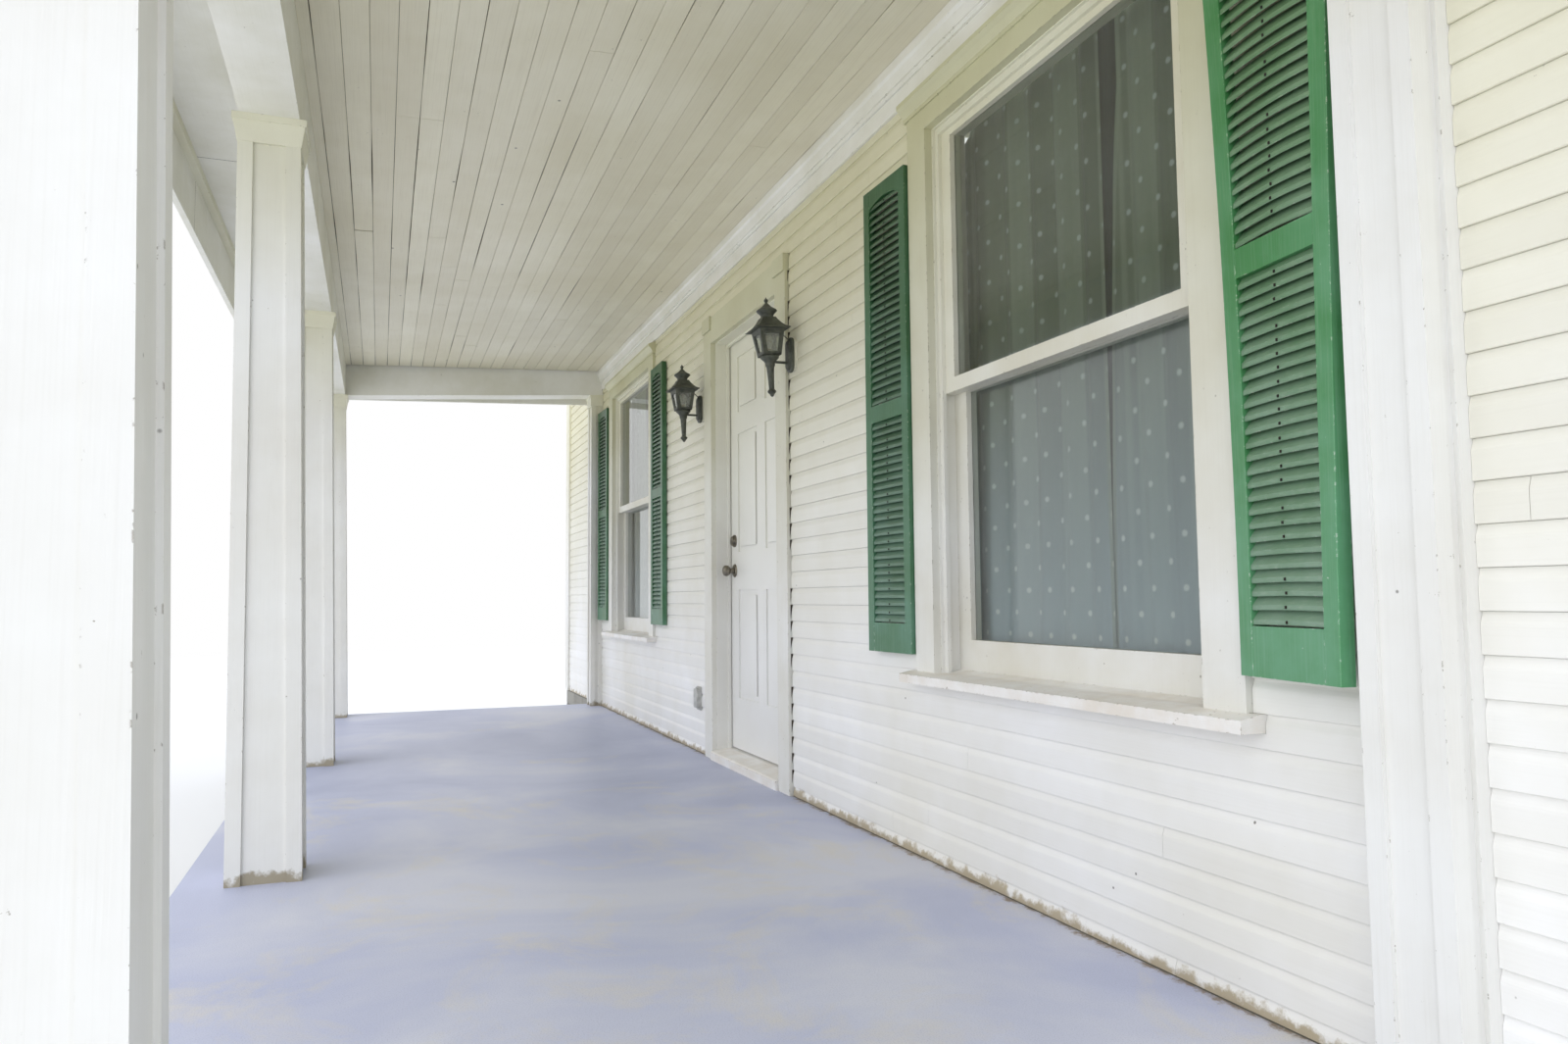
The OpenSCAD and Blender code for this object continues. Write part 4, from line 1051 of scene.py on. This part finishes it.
def louvredShutters():
    cornerFrame, cornerLouvres, staples = bmesh.new(), bmesh.new(), bmesh.new()
    shadedFrames, shadedLouvres = bmesh.new(), bmesh.new()
    chance = random.Random(shutter["seed"])
    wide, tall, thick, stile = (shutter[k] for k in ("width", "height", "thick", "stile"))
    for hang in hangs:
        # the corner shutter takes the lit paint; the others take the darker copies, which are painted shade
        bright = hang is hangs[-1]
        frames, louvres = (cornerFrame, cornerLouvres) if bright else (shadedFrames, shadedLouvres)

        def point(across, deep, high):
            return onShutter(hang, across, deep, high)
        for a, b in ((0, stile), (wide - stile, wide)):
            section = ((a + 0.001, 0), (b - 0.001, 0), (b, 0.001), (b, thick), (a, thick), (a, 0.001))
            addLoft(frames, [[point(s, d, tall * i / shutter["steps"]) for s, d in section]
                             for i in range(shutter["steps"] + 1)])

        def arch(s):
            curve = math.sin(math.pi * (s - stile) / (wide - 2 * stile))
            return shutter["spring"] + shutter["rise"] * curve ** shutter["archShape"]
        lowTop, midTop = shutter["lowTop"], shutter["lowTop"] + shutter["midRail"]
        rails = ((lambda s: 0.0, shutter["bottomRail"]), (lambda s: lowTop, midTop), (arch, tall))
        near, far = shutter["railFront"], thick - shutter["railBack"]
        for under, high in rails:
            rings = []
            for i in range(17):
                s = stile + (wide - 2 * stile) * i / 16
                low = under(s)
                section = ((near, low), (near, high), (far, high), (far, low))
                rings.append([point(s, d, h) for d, h in section])
            addLoft(frames, rings)
        front, back = shutter["louvreFront"], thick - shutter["louvreBack"]
        lip, slope = shutter["lip"], shutter["slope"]
        for low, high in ((shutter["bottomRail"], lowTop), (midTop, shutter["spring"] + shutter["rise"])):
            count = int((high - low) / shutter["pitch"])
            for n in range(count):
                foot = low + (n + 0.12) * (high - low) / count + chance.uniform(-0.0008, 0.0008)
                bow = hang["bow"] * (1 if low > 0.5 else 0.25) * chance.uniform(0.8, 1.2)
                section = ((front, 0.0015), (front + 0.001, 0), (back, slope), (back, slope + lip),
                           (front + 0.001, lip), (front, lip - 0.0015))
                rings = []
                for i in range(9):
                    s = stile - 0.002 + (wide - 2 * stile + 0.004) * i / 8
                    lift = bow * math.sin(math.pi * i / 8)
                    rings.append([point(s, d, foot + t + lift) for d, t in section])
                addLoft(louvres, rings)
                if chance.random() < shutter["stapled"]:
                    s, t = wide / 2 + chance.uniform(-0.002, 0.002), foot + bow + lip * 0.5
                    addLoft(staples, [[point(s + a * w, front + d, t + b * h) for a, b in fourCorners]
                                      for w, h, d in shutter["staple"]])
        lowBlock, topBlock = shutter["blocksAt"]  # blocks that hold it off the boards
        for high in (lowBlock, tall - topBlock):
            corners = [point(s, thick - 0.004, high + h) for s in (0.008, 0.034) for h in (0, 0.04)]
            xs = sorted(c.x for c in corners)
            addBox(frames, (xs[0], corners[0].y, corners[0].z), (xs[-1], -0.004, corners[1].z))
    newPiece("shutterFrames", shadedFrames, shadedShutterPaint)
    newPiece("shutterLouvres", shadedLouvres, shadedLouvrePaint)
    newPiece("cornerShutterFrame", cornerFrame, shutterPaint)
    newPiece("cornerShutterLouvres", cornerLouvres, dustAndSheenLouvrePaint)
    newPiece("shutterStaples", staples, rustedStaple)


louvredShutters()
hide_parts("shutters")
print("shutters ready")


# Lanterns, in millimetres from the middle of the wall plate: square, with a flared roof and a round crown.
# Both lean out at the top. Profiles are half widths and heights; cage and opening are top and half width at
# the top, then foot and half width at the foot; beside and above place the plate, in metres.
lantern = {"beside": 0.660, "above": 1.830, "reach": 118, "pivot": -66,
           "roof": [(73, 62), (73, 65), (57, 74), (45, 87), (33, 104), (28, 114)],
           "crown": [(0.1, 108), (27, 108), (26, 118), (27, 125), (34, 133), (42, 140), (43, 143), (40, 147),
                     (30, 153), (19, 161), (10, 171), (6, 175), (4, 177), (8, 182), (9, 186), (7, 190),
                     (3, 194), (0.1, 201)],
           "cage": (62, 53, -44, 38), "past": 60, "opening": (42, 33, -30, 21), "sheet": 5, "foot": 4,
           "stem": [(0.1, -41), (36, -41), (38, -46), (38, -52), (32, -58), (24, -66), (20, -74), (20, -84),
                    (16, -90), (14, -120), (11.5, -168), (11, -180), (17, -186), (18, -191), (14, -196),
                    (9, -201), (7, -207), (0.1, -212)],
           "socket": [(0.1, -40), (14, -40), (14, -34), (9.5, -30), (9.5, -14), (0.1, -14)],
           "bulb": [(0.1, -16), (9, -16), (10, -10), (15, 0), (20, 12), (21, 22), (18, 34), (11, 42),
                    (0.1, 45)],
           "plate": (32, 73, -33), "block": 23, "plateThick": 12, "rounding": 0.94, "arm": 5.5, "stay": 2.2}
lanternLeans = {-1: 1.6, 1: 3.5}  # degrees


# A point of a lantern's body in metres, leaned out about the end of the arm.
def onLantern(side, p):
    lean = math.radians(lanternLeans[side])
    y, z = p[1], p[2] - lantern["pivot"]
    y, z = y * math.cos(lean) - z * math.sin(lean), y * math.sin(lean) + z * math.cos(lean)
    return onWall(side, (p[0], y - lantern["reach"], z + lantern["pivot"]))


# A point in metres from the middle of the wall plate.
def onWall(side, p):
    x, y, z = (c / 1000 for c in p)
    return Vector((side * lantern["beside"] + x, y, floorTop + lantern["above"] + z))


def rodBetween(bm, a, b, radius, sides=10):
    line = (b - a).normalized()
    u = line.orthogonal().normalized()
    v = line.cross(u)
    addLoft(bm, [[p + (u * math.cos(math.tau * i / sides) + v * math.sin(math.tau * i / sides)) * radius
                  for i in range(sides)] for p in (a, b)])


# The outline of a plate with rounded ends.
def plateLine(half, tall):
    bulge = 0.75 * half
    points = []
    for up in (1, -1):
        for i in range(9):
            angle = math.pi * (i / 8) + (0 if up > 0 else math.pi)
            points.append((half * math.cos(angle), up * (tall - bulge) + bulge * math.sin(angle)))
    return points


def wallLanterns():
    bodies, panes, blocks, bulbs, sockets = (bmesh.new() for _ in range(5))
    topZ, topHalf, lowZ, lowHalf = lantern["cage"]
    upZ, upHalf, downZ, downHalf = lantern["opening"]
    sheet, past, foot = lantern["sheet"], lantern["past"], lantern["foot"]

    def half(z):
        return lowHalf + (topHalf - lowHalf) * (z - lowZ) / (topZ - lowZ)

    for side in (-1, 1):
        def body(p):
            return onLantern(side, p)

        def addRings(bm, rings):
            addLoft(bm, [[body(p) for p in ring] for ring in rings])

        addRings(bodies, squareRings(lantern["roof"]))
        for part in ("crown", "stem"):
            addRings(bodies, turnedRings(lantern[part], 28))
        addRings(bodies, squareRings([(half(z), z) for z in (lowZ, lowZ + foot)]))
        for quarter in range(4):
            spin = Matrix.Rotation(math.radians(90 * quarter), 3, "Z")

            def onFace(u, z, deep):  # kept inside the mitre of the corner
                room = half(z) - deep
                return body(spin @ Vector((min(max(u, -room), room), -room, z)))
            bars = [[(-past, topZ), (past, topZ), (upHalf, upZ), (-upHalf, upZ)],
                    [(-past, lowZ), (past, lowZ), (downHalf, downZ), (-downHalf, downZ)],
                    [(-past, topZ), (-upHalf, upZ), (-downHalf, downZ), (-past, lowZ)],
                    [(past, topZ), (upHalf, upZ), (downHalf, downZ), (past, lowZ)]]
            for bar in bars:
                addLoft(bodies, [[onFace(u, z, deep) for u, z in bar] for deep in (0, sheet)])
            pane = [(-past, topZ - 1), (past, topZ - 1), (past, lowZ + 4.5), (-past, lowZ + 4.5)]
            addLoft(panes, [[onFace(u, z, deep) for u, z in pane] for deep in (sheet + 0.3, sheet + 2.3)])
        addRings(sockets, turnedRings(lantern["socket"], 24))
        addRings(bulbs, turnedRings(lantern["bulb"], 28))
        wide, tall, middle = lantern["plate"]
        base, face = lantern["block"], lantern["block"] + lantern["plateThick"]
        for bm, shape, depths in (
                (blocks, plateLine(wide - 4, tall - 4), (0, base - 2, base)),
                (bodies, plateLine(wide, tall), (base, face - 2, face)),
                (bodies, plateLine(wide - 10, tall - 11), (base + 2, face + 5, face + 8))):
            shrinks = (1, 1, lantern["rounding"])
            addLoft(bm, [[onWall(side, (x * shrink, -deep, middle + z * shrink)) for x, z in shape]
                         for deep, shrink in zip(depths, shrinks)])
        armEnd = onWall(side, (0, -lantern["reach"], lantern["pivot"]))
        rodBetween(bodies, armEnd, onWall(side, (0, -28, lantern["pivot"])), lantern["arm"] / 1000, 14)
        hook, eye = body((0, topHalf - 2, topZ - 4)), onWall(side, (0, -30, middle + tall - 14))
        rodBetween(bodies, hook, eye, lantern["stay"] / 1000)
    newPiece("lanternBodies", bodies, lanternCoat, 32)
    newPiece("lanternBlocks", blocks, lanternBlockPaint, 40)
    newPiece("lanternPanes", panes, lampGlass)
    newPiece("lanternSockets", sockets, socketBrass, 40)
    newPiece("lanternBulbs", bulbs, finishes["bulb"], 60)


wallLanterns()
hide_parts("lanterns")
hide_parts("lantern_glass")
print("lanterns ready")


# The small weatherproof cover on the wall left of the door.
cover = {"place": (-0.74, floorTop + 0.28), "plate": (0.078, 0.122), "lid": (0.066, 0.098)}


def outletCover():
    bm = bmesh.new()
    x, z = cover["place"]
    back = -clapboard["thick"] + 0.004

    def slab(halfW, halfH, y0, y1, lean, radius, shift=0):
        def ring(y, shrink):
            points = []
            for cx, cz, start in ((1, 1, 0), (-1, 1, 90), (-1, -1, 180), (1, -1, 270)):
                for k in range(4):
                    angle = math.radians(start + 30 * k)
                    points.append((x + cx * (halfW - radius) + (radius - shrink) * math.cos(angle), y,
                                   z + shift + cz * (halfH - radius) + (radius - shrink) * math.sin(angle)))
            return points
        addLoft(bm, [ring(y0, 0), ring(y1 + 0.002, 0), ring(y1, lean)])

    slab(cover["plate"][0] / 2, cover["plate"][1] / 2, back, -0.018, 0.002, 0.008)
    slab(cover["lid"][0] / 2, cover["lid"][1] / 2, -0.017, -0.036, 0.004, 0.010)
    slab(0.012, 0.005, -0.017, -0.030, 0.001, 0.003, cover["lid"][1] / 2 + 0.004)
    newPiece("outletCover", bm, finishes["plastic"], 40)


outletCover()


# Dark joints in the painted boards of soffit and fascia.
joints = [
    ((0.249, -2.287, 2.8296), (0.2512, -2.010, 2.8303)),
    ((0.070, -2.2912, 2.602), (0.0715, -2.2903, 2.799)),
]
bm = bmesh.new()
for low, high in joints:
    addBox(bm, low, high)
newPiece("boardJoints", bm, finishes["seam"])


# The door casing lies over the clapboards; at each board a dark wedge at its edge is painted shadow, standing
# for the shade behind the casing's edge.
shadowWedge = {"share": 0.8, "edge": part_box("door_casing")[1].x - 0.004, "inner": 0.001, "proud": 0.0012,
         "face": -0.0125, "back": -0.0035, "foot": (0.008, 0.028), "top": 0.001, "seed": 41}


def casingShadowWedges():
    bm = bmesh.new()
    chance = random.Random(shadowWedge["seed"])
    rows = int((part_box("door_casing")[1].z - floorTop - 0.02) / clapboard["pitch"])
    for row in range(rows):
        z0 = floorTop + clapboard["firstButt"] + row * clapboard["pitch"]
        if chance.random() > shadowWedge["share"]:
            continue
        low, high = z0 + chance.uniform(*shadowWedge["foot"]), z0 + clapboard["pitch"] - shadowWedge["top"]
        corners = ((shadowWedge["face"], low), (shadowWedge["face"], high), (shadowWedge["back"], high))
        for side in (-1, 1):
            ends = sorted((side * (shadowWedge["edge"] - shadowWedge["inner"]), side * (shadowWedge["edge"] + shadowWedge["proud"])))
            addLoft(bm, [[(x, y, z) for y, z in corners] for x in ends])
    return newPiece("casingShadowWedges", bm, finishes["seam"])


casingShadowWedges()
print("small pieces ready")


# Stage, light and background.
studio = {"dome": 1.20, "sun": 0.95, "sunTurn": (48, 0, 38), "sunWide": 70, "floor": "#efefee",
          "floorReach": 60, "floorFades": (6.0, 22.0), "fill": 85, "fillColour": (1.0, 0.98, 0.86),
          "fillPlace": (3.4, -7.2, 0.8), "fillTarget": (1.0, -0.4, 2.3), "fillSize": (7, 2.5)}


# 1 for rays that look at the background, 0 for those that light the part.
def seenRays(tree):
    ray = addNode(tree, "LightPath").node.outputs
    seen = reckoned(tree, "MAXIMUM", ray["Is Camera Ray"], ray["Is Glossy Ray"])
    return reckoned(tree, "MAXIMUM", seen, ray["Is Transmission Ray"])


world = bpy.data.worlds.new("studio")
scene.world = world
world.use_nodes = True
tree = world.node_tree
tree.nodes.clear()
seen = seenRays(tree)
dome = addNode(tree, "Background", {"Color": "#f1f5ff", "Strength": studio["dome"]})
paleSky = addNode(tree, "Background", {"Color": "#ffffff", "Strength": 1.0})
both = addNode(tree, "MixShader", None, {0: seen, 1: dome, 2: paleSky})
addNode(tree, "OutputWorld", None, {"Surface": both})

sunData = bpy.data.lights.new("sun", "SUN")
sunData.energy = studio["sun"]
sunData.angle = math.radians(studio["sunWide"])
sun = bpy.data.objects.new("sun", sunData)
scene.collection.objects.link(sun)
sun.rotation_euler = [math.radians(a) for a in studio["sunTurn"]]
fillData = bpy.data.lights.new("fill", "AREA")
fillData.shape = "RECTANGLE"
fillData.size, fillData.size_y = studio["fillSize"]
fillData.energy = studio["fill"]
fillData.color = studio["fillColour"]
fill = bpy.data.objects.new("fill", fillData)
scene.collection.objects.link(fill)
fill.location = studio["fillPlace"]
fill.rotation_mode = "QUATERNION"
fill.rotation_quaternion = (Vector(studio["fillTarget"]) - fill.location).to_track_quat("-Z", "Y")

bm = bmesh.new()
bmesh.ops.create_circle(bm, cap_ends=True, radius=studio["floorReach"], segments=64)
mesh = bpy.data.meshes.new("ground")
bm.to_mesh(mesh)
bm.free()
ground = bpy.data.objects.new("ground", mesh)
scene.collection.objects.link(ground)
paper = bpy.data.materials.new("paleGround")
paper.use_nodes = True
tree = paper.node_tree
tree.nodes.clear()
place = addNode(tree, "TexCoord", None, None, 3)
away = addNode(tree, "VectorMath", {"operation": "LENGTH"}, {0: place}, 1)
fade = ranged(tree, away, *studio["floorFades"])
fade = reckoned(tree, "MULTIPLY", fade, seenRays(tree))
dull = addNode(tree, "BsdfDiffuse", {"Color": studio["floor"]})
bright = addNode(tree, "Emission", {"Color": "#ffffff", "Strength": 1.0})
both = addNode(tree, "MixShader", None, {0: fade, 1: dull, 2: bright})
addNode(tree, "OutputMaterial", None, {"Surface": both})
mesh.materials.append(paper)
ground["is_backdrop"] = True
print("stage ready")

low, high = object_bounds()
